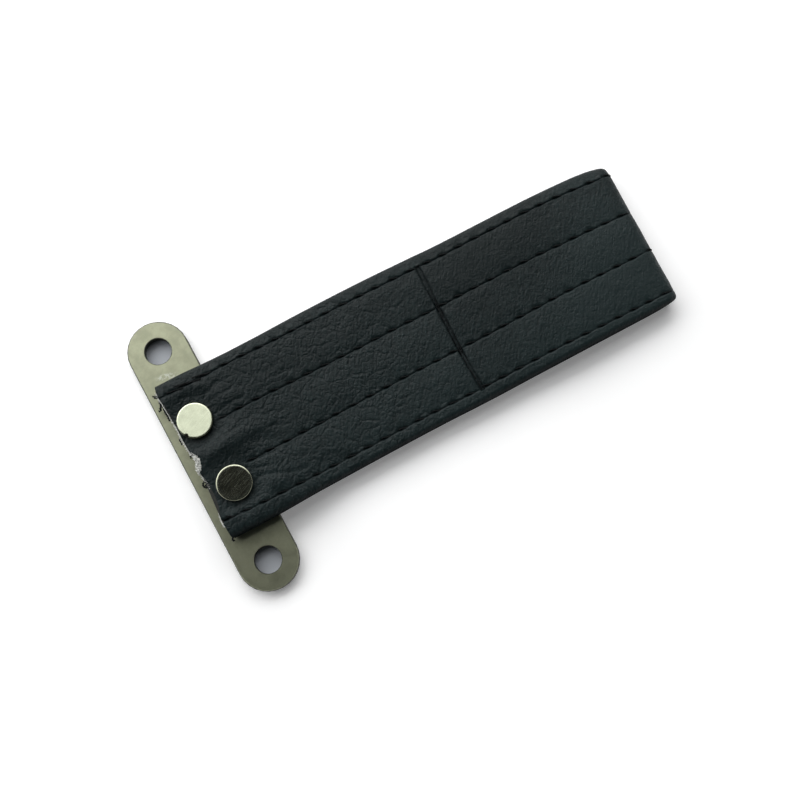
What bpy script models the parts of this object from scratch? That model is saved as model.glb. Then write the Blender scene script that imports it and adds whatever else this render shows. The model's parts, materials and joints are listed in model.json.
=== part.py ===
"""Car door pull strap: a quilted leathercloth strip, folded in half and riveted to a steel plate.

The plate's underside lies at z = 0 with its middle at the origin. The strap runs along +X.
"""

import math

import bmesh
import bpy
import numpy as np

mm = 0.001

# Clearances
seat_gap = 0.2 * mm  # between pieces that are clamped on each other
leg_gap = 0.3 * mm  # between the two legs where they are sewn together
bore_gap = 0.3 * mm  # round a rivet's shank, in the plate and in the strap
core_gap = 0.15 * mm  # between the reinforcing strip and its cover
thread_gap = 0.1 * mm  # under a thread

# Mounting plate: a flat bar with round ends
mount_hole = 6.6 * mm
screw_clear = 5.1 * mm  # from the strap's edge to a screw hole
plate_width = 14.9 * mm
plate_thickness = 2.5 * mm
plate_edge = 0.3 * mm
plate_turn = math.radians(0.85)  # it is riveted on a little askew

# Rivets: flat heads on top, hollow tails spread into countersinks at the back
rivet_offsets = (0.4 * mm, 2.0 * mm)  # of the upper and the lower rivet from the plate's middle line
rivet_insets = (12.5 * mm, 10.4 * mm)  # from the strap's upper and lower edge
head_diameter = 8.6 * mm
head_thickness = 1.1 * mm
head_rim = 0.35 * mm
press_margin = 0.8 * mm  # the padding is pressed flat this far past the head
press_slope = 4.5 * mm
shank_diameter = 4.0 * mm
tail_bore = 2.4 * mm
countersink_diameter = 7.8 * mm
countersink_depth = 1.45 * mm
tail_gap = 0.8 * mm  # round the spread tail, in its countersink
tail_curl = 0.4 * mm
tail_recess = 0.15 * mm  # the tail ends this far inside the plate's back

# Strap, measured along X from the raw ends and across it from its own centre line
strap_width = 40.2 * mm
strap_shift = 0.35 * mm  # its centre line lies this far to +Y of the plate's middle
edge_roll = 0.45  # half the height of the edge's outermost facet, as a share of half the thickness
raw_end_margin = 4.5 * mm  # from the upper rivet's centre to the cut
strap_length = 123.75 * mm  # from the cut to the outside of the fold
leg_thickness = 2.6 * mm
step_length = 17.0 * mm  # over which the strap comes down from the plate to the floor
step_clear = 1.2 * mm

# Quilting
upper_row_inset = 3.1 * mm
lower_row_inset = 3.9 * mm
upper_panel = 10.85 * mm
middle_panel = 12.0 * mm
row_drifts = (0.1 * mm, -0.3 * mm, 0.5 * mm, -0.7 * mm)  # from the cut to the fold
groove_depth = 0.55 * mm
groove_floor = 0.9 * mm
panel_steps = (0.2, 0.5, 0.8)

# Cross seam through both legs, and the loop beyond it
seam_place = 68.6 * mm  # from the cut
seam_floor = 1.9 * mm
seam_slope = 1.5 * mm
seam_lift = 0.35 * mm
seam_spread = 4.0 * mm
seam_nip = 0.25 * mm
fold_gap = 0.8 * mm
loop_opening = 0.9 * mm
fold_pinches = (1.3 * mm, 0.6 * mm)  # how far the upper and lower corners draw in
pinch_length = 22.0 * mm

# Reinforcing strip inside the cover
core_thickness = 0.5 * mm
core_margin = 2.3 * mm  # from the strap's edge
core_proud = 0.35 * mm  # it frays out past the cut

# Waste and overshoot, all of it cut away
cut_waste = 3.0 * mm  # of strip beyond the cut
path_waste = 6.0 * mm  # of path beyond the cut
cutter_reach = 1.0 * mm  # of a cutter past the surface that it cuts

# Sewing thread
thread_diameter = 0.38 * mm
row_start = 1.2 * mm  # first stitch, from the cut or from the rivet head that covers the row
neck_diameter = 0.18 * mm  # where it goes down a needle hole
stitch_length = 4.6 * mm
stitch_slant = 0.12 * mm
dash_start = 0.2  # shares of a stitch between which its thread lies on top
dash_end = 0.8
seam_strand_spacing = 0.9 * mm
seam_stitches = 8

# The ragged cut: place across the strap, and how far the cut lies in from the straight line there
raw_edge = (
    (-24.0 * mm, 0.0 * mm), (-16.2 * mm, -0.5 * mm), (-9.5 * mm, 0.8 * mm), (-4.0 * mm, 0.1 * mm),
    (-1.3 * mm, 1.1 * mm), (1.2 * mm, 0.1 * mm), (9.0 * mm, 0.0 * mm), (17.5 * mm, -0.7 * mm),
    (24.0 * mm, -0.4 * mm),
)

# Sizes that follow from those above
raw_end_x = rivet_offsets[0] - raw_end_margin
fold_x = raw_end_x + strap_length
seam_x = raw_end_x + seam_place
half_leg = leg_thickness / 2
fold_radius = (leg_thickness + fold_gap) / 2
fold_centre_x = fold_x - fold_radius - half_leg
upper_edge = strap_shift + strap_width / 2
lower_edge = strap_shift - strap_width / 2
hole_spacing = strap_width + 2 * screw_clear + mount_hole
rivet_places = (
    (rivet_offsets[0], upper_edge - rivet_insets[0]),
    (rivet_offsets[1], lower_edge + rivet_insets[1]),
)
floor_height = half_leg - groove_depth  # of a groove's floor, from the leg's middle
row_1 = upper_edge - upper_row_inset
row_2 = row_1 - upper_panel
row_3 = row_2 - middle_panel
row_4 = lower_edge + lower_row_inset
rows = (row_1, row_2, row_3, row_4)
core_slot = core_thickness + 2 * core_gap
step_start_x = plate_width / 2 + step_clear
head_seat = plate_thickness + seat_gap + leg_thickness + leg_gap + half_leg + floor_height + seat_gap


def clear_scene():
    for old in list(bpy.data.objects):
        bpy.data.objects.remove(old, do_unlink=True)


def ease(share):
    """0 to 1 with a soft start and end."""
    share = min(max(share, 0.0), 1.0)
    return share * share * (3 - 2 * share)


def material(name, colour, roughness, metallic=0.0):
    made = bpy.data.materials.new(name)
    made.use_nodes = True
    shader = made.node_tree.nodes["Principled BSDF"]
    shader.inputs["Base Color"].default_value = (*colour, 1)
    shader.inputs["Roughness"].default_value = roughness
    shader.inputs["Metallic"].default_value = metallic
    made.diffuse_color = (*colour, 1)
    return made


def mesh_object(name, points, faces, finish):
    mesh = bpy.data.meshes.new(name)
    mesh.from_pydata([tuple(point) for point in points], [], faces)
    work = bmesh.new()
    work.from_mesh(mesh)
    bmesh.ops.recalc_face_normals(work, faces=work.faces)
    work.to_mesh(mesh)
    work.free()
    mesh.materials.append(finish)
    made = bpy.data.objects.new(name, mesh)
    bpy.context.scene.collection.objects.link(made)
    return made


def soften(obj, degrees=35):
    obj.data.shade_smooth()
    obj.data.set_sharp_from_angle(angle=math.radians(degrees))


def tube_faces(rings, size, closed=False):
    """Quads between rings of equal size, with the two ends capped unless the tube is a loop."""
    faces = []
    for ring in range(rings if closed else rings - 1):
        here = ring * size
        there = (ring + 1) % rings * size
        for i in range(size):
            j = (i + 1) % size
            faces.append((here + i, here + j, there + j, there + i))
    if not closed:
        faces.append(tuple(reversed(range(size))))
        faces.append(tuple((rings - 1) * size + i for i in range(size)))
    return faces


def turned(name, profile, place, finish, sides=24):
    """A closed solid turned round Z at place, from (radius, height) points that run up its outside."""
    points = []
    for radius, height in profile[1:-1]:
        for step in range(sides):
            angle = 2 * math.pi * step / sides
            points.append((radius * math.cos(angle), radius * math.sin(angle), height))
    rings = len(profile) - 2
    faces = tube_faces(rings, sides)[:-2]
    foot = len(points)
    points.append((0, 0, profile[0][1]))
    points.append((0, 0, profile[-1][1]))
    for i in range(sides):
        j = (i + 1) % sides
        faces.append((foot, j, i))
        faces.append((foot + 1, (rings - 1) * sides + i, (rings - 1) * sides + j))
    made = mesh_object(name, points, faces, finish)
    made.location = (place[0], place[1], 0)
    return made


def cut(obj, cutter):
    cutter.hide_render = True
    cutter.display_type = "WIRE"
    modifier = obj.modifiers.new(cutter.name, "BOOLEAN")
    modifier.operation = "DIFFERENCE"
    modifier.object = cutter


# The strip's path

def leg_rise(x):
    """Height of the lower leg's underside: up on the plate, then down on the floor."""
    on_plate = 1 - ease((x - step_start_x) / step_length)
    nip = math.exp(-(((x - seam_x) / seam_spread) ** 2))
    return on_plate * (plate_thickness + seat_gap) + nip * seam_lift


def opening_at(x):
    """Distance between the two legs."""
    share = (x - seam_x) / (fold_centre_x - seam_x)
    bulge = math.sin(math.pi * min(max(share, 0.0), 1.0)) ** 2
    return leg_gap + (fold_gap - leg_gap) * ease(share) + loop_opening * bulge


def lower_middle(x):
    return leg_rise(x) + half_leg


def upper_middle(x):
    return lower_middle(x) + leg_thickness + opening_at(x)


def strip_path(step=0.5 * mm, bend_step=6):
    """Middle line of the strip from the upper cut, round the fold, to the lower cut, and its lengths."""
    count = int((fold_centre_x - raw_end_x + path_waste) / step)
    xs = np.linspace(raw_end_x - path_waste, fold_centre_x, count)
    upper = [(x, upper_middle(x)) for x in xs]
    lower = [(x, lower_middle(x)) for x in reversed(xs)]
    middle = (upper[-1][1] + lower[0][1]) / 2
    bend = []
    for degrees in range(bend_step, 180, bend_step):
        angle = math.radians(90 - degrees)
        bend.append((fold_centre_x + fold_radius * math.cos(angle), middle + fold_radius * math.sin(angle)))
    line = np.array(upper + bend + lower)
    lengths = np.concatenate(([0], np.cumsum(np.hypot(*np.diff(line, axis=0).T))))
    start = np.interp(raw_end_x, xs, lengths[:count])
    end = lengths[-1] - start
    fold_start = lengths[count - 1] - start
    fold_end = lengths[count + len(bend)] - start
    return line, lengths - start, end - start, fold_start, fold_end


path, path_lengths, strip_length, fold_start, fold_end = strip_path()
path_tangents = np.gradient(path, path_lengths, axis=0)


def along(distance):
    """Point and outward normal of the strip's middle at this length from the upper cut."""
    x, z = (np.interp(distance, path_lengths, path[:, axis]) for axis in (0, 1))
    run, rise = (np.interp(distance, path_lengths, path_tangents[:, axis]) for axis in (0, 1))
    size = math.hypot(run, rise)
    return x, z, -rise / size, run / size


def strip_point(distance, y, height):
    """A point of the strip: length along it, place across it, height above its middle."""
    x, z, across, up = along(distance)
    return x + across * height, y, z + up * height


def length_to(x):
    """Length along the upper leg at which the strip's middle passes x."""
    upper = path_lengths <= fold_start
    return float(np.interp(x, path[upper, 0], path_lengths[upper]))


seam_length = length_to(seam_x)
lower_seam_length = float(fold_end + (fold_start - seam_length))


def edges_at(x):
    """The strap's upper and lower edge, nipped at the seam and drawn in at the fold."""
    nip = seam_nip * math.exp(-(((x - seam_x - seam_spread) / (2 * seam_spread)) ** 2))
    draw = min(max((x - fold_x + pinch_length) / pinch_length, 0.0), 1.0) ** 3
    return upper_edge - nip - fold_pinches[0] * draw, lower_edge + fold_pinches[1] * draw


def rows_at(x):
    return [row + drift * (x - raw_end_x) / strap_length for row, drift in zip(rows, row_drifts)]


def pressed(distance, x, y):
    """1 where a rivet head or the cross seam presses the padding flat, 0 where it is free."""
    share = 0.0
    if distance < fold_start:
        for place in rivet_places:
            reach = math.hypot(x - place[0], y - place[1]) - head_diameter / 2
            share = max(share, 1 - ease((reach - press_margin) / press_slope))
    for seam in (seam_length, lower_seam_length):
        if rows_at(x)[3] - groove_floor < y < rows_at(x)[0] + groove_floor:
            share = max(share, 1 - ease((abs(distance - seam) - seam_floor / 2) / seam_slope))
    return share


def cover_section(distance):
    """Ring of points round one leg: the quilted face, an edge roll, the flat inner face, an edge roll."""
    x = along(distance)[0]
    upper, lower = edges_at(x)
    columns = [(upper - half_leg, 1.0)]
    previous = None
    for row in rows_at(x):
        if previous is not None:
            top = previous - groove_floor / 2
            bottom = row + groove_floor / 2
            for step in panel_steps:
                columns.append((top + (bottom - top) * step, 1 - abs(2 * step - 1) ** 3))
        columns.append((row + groove_floor / 2, 0.0))
        columns.append((row - groove_floor / 2, 0.0))
        previous = row
    columns.append((lower + half_leg, 1.0))
    ring = []
    for y, puff in columns:
        height = floor_height + groove_depth * puff * (1 - pressed(distance, x, y))
        ring.append(strip_point(distance, y, height))
    roll = half_leg * edge_roll
    for y, height in ((lower, roll), (lower, -roll), (lower + half_leg, -half_leg)):
        ring.append(strip_point(distance, y, height))
    for y, height in ((upper - half_leg, -half_leg), (upper, -roll), (upper, roll)):
        ring.append(strip_point(distance, y, height))
    return ring


def cover_stations():
    """Lengths along the strip at which the cover has a ring: close where it bends or is pressed."""
    seam_marks = (-seam_slope - seam_floor / 2, -seam_floor / 2, seam_floor / 2, seam_floor / 2 + seam_slope)
    seam_side = 2 * seam_slope + seam_floor / 2
    step_from = length_to(step_start_x)
    step_to = length_to(step_start_x + step_length)
    marks = [-cut_waste, 0]
    runs = (
        (0, step_from, 5), (step_from, step_to, 6), (step_to, seam_length - seam_side, 4),
        (seam_length + seam_side, fold_start, 5), (fold_start, fold_end, 8),
        (fold_end, lower_seam_length - seam_side, 2),
        (lower_seam_length + seam_side, strip_length - step_to, 2),
        (strip_length - step_to, strip_length - step_from, 5), (strip_length - step_from, strip_length, 1),
    )
    for start, end, count in runs:
        marks += list(np.linspace(start, end, count + 1))
    for seam in (seam_length, lower_seam_length):
        marks += [seam + mark for mark in seam_marks]
    marks.append(strip_length + cut_waste)
    return sorted({round(mark, 7) for mark in marks})


def band(name, stations, edges_of, half_height, finish):
    """A flat strip that follows the path, such as the core and the slot that it lies in."""
    points = []
    for distance in stations:
        upper, lower = edges_of(along(distance)[0])
        for y, height in ((upper, 1), (lower, 1), (lower, -1), (upper, -1)):
            points.append(strip_point(distance, y, height * half_height))
    return mesh_object(name, points, tube_faces(len(stations), 4), finish)


def core_edges(x):
    upper, lower = edges_at(x)
    return upper - core_margin, lower + core_margin


def slot_edges(x):
    upper, lower = core_edges(x)
    return upper + core_gap, lower - core_gap


def end_cutter(name, proud=0.0):
    """Block that trims the strip's waste along the ragged cut."""
    far = raw_end_x - cut_waste - 2 * cutter_reach
    cut_line = [(raw_end_x + depth - proud, y + strap_shift) for y, depth in raw_edge]
    outline = [(far, cut_line[0][1])] + cut_line + [(far, cut_line[-1][1])]
    points = [(x, y, 0) for x, y in outline] + [(x, y, 2 * head_seat) for x, y in outline]
    size = len(outline)
    return mesh_object(name, points, tube_faces(2, size), None)


def bore_cutters(name, diameter, bottom, top):
    cutters = []
    for number, place in enumerate(rivet_places, 1):
        radius = diameter / 2
        profile = ((0, bottom), (radius, bottom), (radius, top), (0, top))
        cutters.append(turned(f"{name}_{number}", profile, place, None))
    return cutters


# Sub-parts

def make_plate(steel, arc_steps=14):
    """Flat bar with full round ends, two screw holes, and two countersunk rivet holes."""
    outline = []
    for end in (1, -1):
        for step in range(arc_steps + 1):
            angle = math.pi * step / arc_steps
            x = plate_width / 2 * math.cos(angle) * end
            y = (hole_spacing / 2 + plate_width / 2 * math.sin(angle)) * end
            outline.append((x, y))
    work = bmesh.new()
    face = work.faces.new([work.verts.new((x, y, 0)) for x, y in outline])
    solid = bmesh.ops.extrude_face_region(work, geom=[face])
    raised = [item for item in solid["geom"] if isinstance(item, bmesh.types.BMVert)]
    bmesh.ops.translate(work, verts=raised, vec=(0, 0, plate_thickness))
    bmesh.ops.recalc_face_normals(work, faces=work.faces)
    mesh = bpy.data.meshes.new("mounting_plate")
    work.to_mesh(mesh)
    work.free()
    mesh.materials.append(steel)
    plate = bpy.data.objects.new("mounting_plate", mesh)
    bpy.context.scene.collection.objects.link(plate)
    plate.rotation_euler.z = plate_turn
    bevel = plate.modifiers.new("edge", "BEVEL")
    bevel.width = plate_edge
    bevel.segments = 1
    bevel.limit_method = "ANGLE"
    bevel.angle_limit = math.radians(60)

    past = cutter_reach
    for side in (1, -1):
        along_y = side * hole_spacing / 2
        place = (-along_y * math.sin(plate_turn), along_y * math.cos(plate_turn))
        radius = mount_hole / 2
        profile = ((0, -past), (radius, -past), (radius, plate_thickness + past), (0, plate_thickness + past))
        cut(plate, turned(f"screw_hole_{side}", profile, place, None))
    bore = shank_diameter / 2 + bore_gap
    slope = (countersink_diameter / 2 - bore) / countersink_depth
    for number, place in enumerate(rivet_places, 1):
        profile = (
            (0, -past),
            (countersink_diameter / 2 + slope * past, -past),
            (bore, countersink_depth),
            (bore, plate_thickness + past),
            (0, plate_thickness + past),
        )
        cut(plate, turned(f"rivet_hole_{number}", profile, place, None))
    soften(plate)
    plate.modifiers.new("flat_faces", "WEIGHTED_NORMAL").keep_sharp = True
    return plate


def make_cover(vinyl):
    """Leathercloth sleeve round the core: one strip with four sewn grooves, folded in half."""
    stations = cover_stations()
    rings = [cover_section(distance) for distance in stations]
    points = [point for ring in rings for point in ring]
    cover = mesh_object("strap_cover", points, tube_faces(len(rings), len(rings[0])), vinyl)
    slot_stations = [stations[0] - cutter_reach] + stations[1:-1] + [stations[-1] + cutter_reach]
    cut(cover, band("core_slot", slot_stations, slot_edges, core_slot / 2, None))
    cut(cover, end_cutter("cover_end"))
    for cutter in bore_cutters("strap_bore", shank_diameter + 2 * bore_gap, 0, head_seat + cutter_reach):
        cut(cover, cutter)
    soften(cover)
    return cover


def make_core(webbing):
    """Pale woven strip inside the cover. Its frayed end shows past the cut."""
    core = band("strap_core", cover_stations(), core_edges, core_thickness / 2, webbing)
    cut(core, end_cutter("core_end", core_proud))
    for cutter in bore_cutters("core_bore", shank_diameter + 2 * bore_gap, 0, head_seat):
        cut(core, cutter)
    return core


def make_rivet(name, place, nickel):
    """Flat head, shank through strap and plate, and a hollow tail spread into the countersink."""
    head = head_diameter / 2
    shank = shank_diameter / 2
    hollow = tail_bore / 2
    tail = countersink_diameter / 2 - tail_gap
    top = head_seat + head_thickness
    profile = (
        (0, countersink_depth + tail_curl),
        (hollow, countersink_depth),
        (hollow, tail_recess + tail_curl),
        (hollow + tail_curl, tail_recess),
        (tail - tail_curl / 2, tail_recess),
        (tail, tail_recess + tail_curl / 2),
        (shank, countersink_depth),
        (shank, head_seat),
        (head - head_rim, head_seat),
        (head, head_seat + head_rim),
        (head, top - head_rim),
        (head - head_rim, top),
        (0, top),
    )
    rivet = turned(name, profile, place, nickel)
    soften(rivet)
    return rivet


def thread(name, stations, finish, closed=False):
    """Four-sided thread through (centre, side vector, up vector, radius) stations."""
    points = []
    for centre, side, up, radius in stations:
        for a, b in ((1, 0), (0, 1), (-1, 0), (0, -1)):
            points.append([centre[i] + radius * (a * side[i] + b * up[i]) for i in range(3)])
    return mesh_object(name, points, tube_faces(len(stations), 4, closed), finish)


def first_hole_x(row):
    """Where a row of stitches starts: at the cut, or clear of a rivet head that covers it."""
    start = raw_end_x
    for place in rivet_places:
        if abs(row - place[1]) < head_diameter / 2 + thread_diameter:
            start = max(start, place[0] + head_diameter / 2)
    return start + row_start


def make_row_thread(number, black):
    """One running thread: dashes in the groove, with a dip at each needle hole, on both outer faces."""
    between_seams = lower_seam_length - seam_length
    pitch = between_seams / round(between_seams / stitch_length)
    start = length_to(first_hole_x(rows[number]))
    end = strip_length - start
    before = int((seam_length - start) / pitch)
    after = int((end - seam_length) / pitch)
    low = floor_height + thread_gap + neck_diameter / 2
    high = floor_height + thread_gap + thread_diameter / 2
    stations = []
    for hole in range(-before, after + 1):
        distance = seam_length + hole * pitch
        spots = [(distance, 0.0, low, neck_diameter / 2)]
        if hole < after:
            bends = distance + pitch > fold_start and distance < fold_end
            for share in np.linspace(dash_start, dash_end, 4 if bends else 2):
                slant = stitch_slant * (1 - 2 * (share - dash_start) / (dash_end - dash_start))
                spots.append((distance + share * pitch, slant, high, thread_diameter / 2))
        for spot, sideways, height, radius in spots:
            x, _, across, up = along(spot)
            y = rows_at(x)[number] + sideways
            stations.append((strip_point(spot, y, height), (0, -1, 0), (across, 0, up), radius))
    return thread(f"stitch_row_{number + 1}", stations, black)


def make_seam_thread(name, seam, black):
    """Two strands side by side across one outer face, joined at both ends. They pass over the rows."""
    x, _, across, up = along(seam)
    crossings = rows_at(x)
    inset = groove_floor / 2 + thread_diameter
    top = crossings[0] - inset
    pitch = (top - crossings[3] - inset) / seam_stitches
    low = floor_height + thread_gap + neck_diameter / 2
    high = floor_height + thread_gap + thread_diameter / 2
    over = high + neck_diameter + thread_gap
    strand = []
    for hole in range(seam_stitches + 1):
        y = top - hole * pitch
        strand.append((y, low, neck_diameter / 2))
        if hole < seam_stitches:
            middle = y - pitch / 2
            height = over if min(abs(middle - row) for row in crossings) < pitch / 2 else high
            for share in (dash_start, dash_end):
                strand.append((y - share * pitch, height, thread_diameter / 2))
    stations = []
    for side, spots in ((-1, strand), (1, list(reversed(strand)))):
        for y, height, radius in spots:
            spot = seam + side * seam_strand_spacing / 2
            centre = strip_point(spot, y, height)
            stations.append((centre, (side * up, 0, -side * across), (across, 0, up), radius))
    return thread(name, stations, black, closed=True)


def main():
    clear_scene()
    steel = material("zinc_plated_steel", (0.27, 0.28, 0.21), 0.45, 1.0)
    vinyl = material("black_leathercloth", (0.012, 0.015, 0.017), 0.5)
    webbing = material("pale_webbing", (0.45, 0.46, 0.42), 0.95)
    nickel = material("nickel_plate", (0.55, 0.53, 0.42), 0.22, 1.0)
    black = material("black_thread", (0.008, 0.009, 0.010), 0.8)
    make_plate(steel)
    make_cover(vinyl)
    make_core(webbing)
    for name, place in zip(("rivet_upper", "rivet_lower"), rivet_places):
        make_rivet(name, place, nickel)
    for number in range(len(rows)):
        make_row_thread(number, black)
    make_seam_thread("cross_seam_upper", seam_length, black)
    make_seam_thread("cross_seam_lower", lower_seam_length, black)


main()
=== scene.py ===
import json
import math
from functools import lru_cache, partial

import bpy
import numpy as np
from mathutils import Matrix, Vector

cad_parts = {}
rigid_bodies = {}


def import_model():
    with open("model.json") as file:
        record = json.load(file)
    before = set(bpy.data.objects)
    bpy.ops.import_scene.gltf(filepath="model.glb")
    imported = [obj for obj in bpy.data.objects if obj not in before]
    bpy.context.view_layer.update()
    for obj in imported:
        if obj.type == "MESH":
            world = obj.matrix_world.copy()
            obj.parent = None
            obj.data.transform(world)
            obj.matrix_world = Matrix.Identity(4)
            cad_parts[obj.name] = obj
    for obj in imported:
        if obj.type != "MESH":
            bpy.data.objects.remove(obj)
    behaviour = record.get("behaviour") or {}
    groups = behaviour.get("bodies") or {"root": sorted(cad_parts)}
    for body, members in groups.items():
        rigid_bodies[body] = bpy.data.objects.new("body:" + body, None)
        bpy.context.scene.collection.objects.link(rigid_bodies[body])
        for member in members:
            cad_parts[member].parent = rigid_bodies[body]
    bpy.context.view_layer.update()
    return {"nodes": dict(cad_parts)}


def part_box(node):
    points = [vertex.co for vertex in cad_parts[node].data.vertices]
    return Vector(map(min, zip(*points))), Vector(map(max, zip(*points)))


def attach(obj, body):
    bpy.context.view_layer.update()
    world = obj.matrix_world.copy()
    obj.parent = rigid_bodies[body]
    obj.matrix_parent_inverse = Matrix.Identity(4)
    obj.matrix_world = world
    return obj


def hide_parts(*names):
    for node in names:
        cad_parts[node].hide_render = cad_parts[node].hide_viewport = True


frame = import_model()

mm = 0.001  # settings are in millimetres, meshes in metres
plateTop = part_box("mounting_plate")[1].z / mm
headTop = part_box("rivet_upper")[1].z / mm


# Small helpers

def ease(share):  # 0 to 1 with a soft start and end
    share = np.clip(share, 0.0, 1.0)
    return share * share * (3 - 2 * share)


@lru_cache(maxsize=None)
def hills(seed):
    return np.random.default_rng(seed).uniform(-1, 1, (128, 128))


def unevenness(x, y, size, seed):
    # smooth random field from -1 to 1, with hills about this size
    table = hills(seed)
    gx, gy = np.asarray(x) / size, np.asarray(y) / size
    ix, iy = np.floor(gx).astype(int), np.floor(gy).astype(int)
    fx, fy = ease(gx - ix), ease(gy - iy)
    near = table[ix % 128, iy % 128] * (1 - fx) + table[(ix + 1) % 128, iy % 128] * fx
    far = table[ix % 128, (iy + 1) % 128] * (1 - fx) + table[(ix + 1) % 128, (iy + 1) % 128] * fx
    return near * (1 - fy) + far * fy


def smoothLine(points, soft=2.5):
    # readings at a few places as a smooth function of that place
    places, values = np.array(points, float).T
    fine = np.arange(places[0] - 4 * soft, places[-1] + 4 * soft, soft / 6)
    kernel = np.exp(-0.5 * (np.arange(-18, 19) / 6) ** 2)
    padded = np.pad(np.interp(fine, places, values), 18, mode="edge")
    smooth = np.convolve(padded, kernel / kernel.sum(), mode="valid")
    return lambda at: np.interp(at, fine, smooth)


def meshPiece(name, points, faces, finishes, faceFinish=None, marks=None):
    mesh = bpy.data.meshes.new(name)
    mesh.from_pydata([tuple(point) for point in np.asarray(points) * mm], [], faces)
    for finish in finishes:
        mesh.materials.append(finish)
    if faceFinish is not None:
        mesh.polygons.foreach_set("material_index", np.asarray(faceFinish, np.int32))
    for key, values in (marks or {}).items():
        mesh.attributes.new(key, "FLOAT", "POINT").data.foreach_set("value", np.asarray(values, np.float32))
    mesh.shade_smooth()
    mesh.update()
    piece = bpy.data.objects.new(name, mesh)
    bpy.context.scene.collection.objects.link(piece)
    return piece


def revolve(profile, sides, centre=(0.0, 0.0)):
    # a line of (radius, height) that starts on an upright axis, turned about it; an end on the axis is closed
    angles = np.arange(sides) * 2 * math.pi / sides
    closed = profile[-1][0] == 0
    rings = profile[1:-1] if closed else profile[1:]
    points, faces = [(*centre, profile[0][1])], []
    for radius, height in rings:
        points += list(np.column_stack((centre[0] + radius * np.cos(angles), centre[1] + radius * np.sin(angles),
                                        np.full(sides, height))))
    last = len(points) - sides
    if closed:
        points.append((*centre, profile[-1][1]))
    for i in range(sides):
        j = (i + 1) % sides
        faces.append((0, 1 + j, 1 + i))
        for here in range(1, last, sides):
            faces.append((here + i, here + j, here + sides + j, here + sides + i))
        if closed:
            faces.append((last + i, last + j, last + sides))
    return points, faces


def keepPiece(piece):
    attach(piece, "root")
    return piece


# Finishes

class Wire:  # a socket that can stand in a sum
    def __init__(self, nodes, socket):
        self.nodes, self.socket = nodes, socket

    def out(self, name):
        return Wire(self.nodes, self.socket.node.outputs[name])

    def worked(self, operation, *values):
        return self.nodes.node("ShaderNodeMath", {"operation": operation}, *values)

    def __add__(self, other):
        return self.worked("ADD", self, other)

    def __sub__(self, other):
        return self.worked("SUBTRACT", self, other)

    def __rsub__(self, other):
        return self.worked("SUBTRACT", other, self)

    def __mul__(self, other):
        return self.worked("MULTIPLY", self, other)

    def __truediv__(self, other):
        return self.worked("DIVIDE", self, other)

    def __pow__(self, other):
        return self.worked("POWER", self, other)

    def __abs__(self):
        return self.worked("ABSOLUTE", self)

    def atLeast(self, other):
        return self.worked("MAXIMUM", self, other)

    __radd__ = __add__
    __rmul__ = __mul__


class Nodes:  # a node tree under construction
    def __init__(self, tree):
        self.tree = tree

    def node(self, kind, settings=None, *values, **named):
        made = self.tree.nodes.new(kind)
        for key, value in (settings or {}).items():
            setattr(made, key, value)
        inputs = [socket for socket in made.inputs if socket.enabled]
        for socket, value in zip(inputs, values):
            self.feed(socket, value)
        for key, value in named.items():
            self.feed(next(s for s in inputs if s.name.replace(" ", "") == key), value)
        return Wire(self, next(socket for socket in made.outputs if socket.enabled))

    def feed(self, socket, value):
        if isinstance(value, Wire):
            self.tree.links.new(value.socket, socket)
        else:
            socket.default_value = value

    def vector(self, operation, *values, **named):
        return self.node("ShaderNodeVectorMath", {"operation": operation}, *values, **named)

    def joined(self, x=0.0, y=0.0, z=0.0):
        return self.node("ShaderNodeCombineXYZ", None, x, y, z)


class Paint(Nodes):  # a material under construction
    def __init__(self, name):
        self.material = bpy.data.materials.new(name)
        self.material.use_nodes = True
        super().__init__(self.material.node_tree)
        self.shader = self.tree.nodes["Principled BSDF"]
        self.output = self.tree.nodes["Material Output"]

    def place(self, turn=0.0, shift=(0, 0)):
        # object coordinates in millimetres, shifted first and then turned about Z by degrees
        spot = self.node("ShaderNodeTexCoord").out("Object")
        shifted = self.vector("SUBTRACT", spot, (shift[0] * mm, shift[1] * mm, 0))
        turned = self.node("ShaderNodeVectorRotate", {"rotation_type": "Z_AXIS"}, shifted,
                           Angle=math.radians(turn))
        return self.vector("SCALE", turned, Scale=1 / mm)

    def axes(self, place):
        parts = self.node("ShaderNodeSeparateXYZ", None, place)
        return [parts.out(axis) for axis in "XYZ"]

    def noise(self, place, size, detail=2.0, rough=0.5):
        return self.node("ShaderNodeTexNoise", None, place, Scale=1 / size, Detail=detail, Roughness=rough)

    def cells(self, place, size, feature="DISTANCE_TO_EDGE"):
        return self.node("ShaderNodeTexVoronoi", {"feature": feature}, place, Scale=1 / size)

    def range(self, value, low, high, start=0.0, end=1.0):
        kind = {"interpolation_type": "SMOOTHSTEP"}
        return self.node("ShaderNodeMapRange", kind, value, low, high, start, end)

    def mix(self, factor, first, second):
        colours = [(*colour, 1) if isinstance(colour, tuple) else colour for colour in (first, second)]
        return self.node("ShaderNodeMix", {"data_type": "RGBA"}, factor, *colours)

    def mark(self, name):
        return self.node("ShaderNodeAttribute", {"attribute_name": name}).out("Fac")

    def bump(self, height):  # height in millimetres
        return self.node("ShaderNodeBump", None, Strength=1.0, Distance=mm, Height=height)

    def dulled(self, share, colour):
        # mixes in painted shade: a dark copy of the finish without any shine
        dull = self.tree.nodes.new("ShaderNodeBsdfPrincipled")
        for name, value in (("Base Color", (*colour, 1)), ("Roughness", 1.0), ("Specular IOR Level", 0.0)):
            dull.inputs[name].default_value = value
        both = self.node("ShaderNodeMixShader", None, share)
        for number, shader in ((1, self.shader), (2, dull)):
            self.tree.links.new(shader.outputs["BSDF"], both.socket.node.inputs[number])
        self.tree.links.new(both.socket, self.output.inputs["Surface"])

    def finish(self, **sockets):
        names = {socket.name.replace(" ", ""): socket for socket in self.shader.inputs}
        for key, value in sockets.items():
            self.feed(names[key], value)
        return self.material


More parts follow.
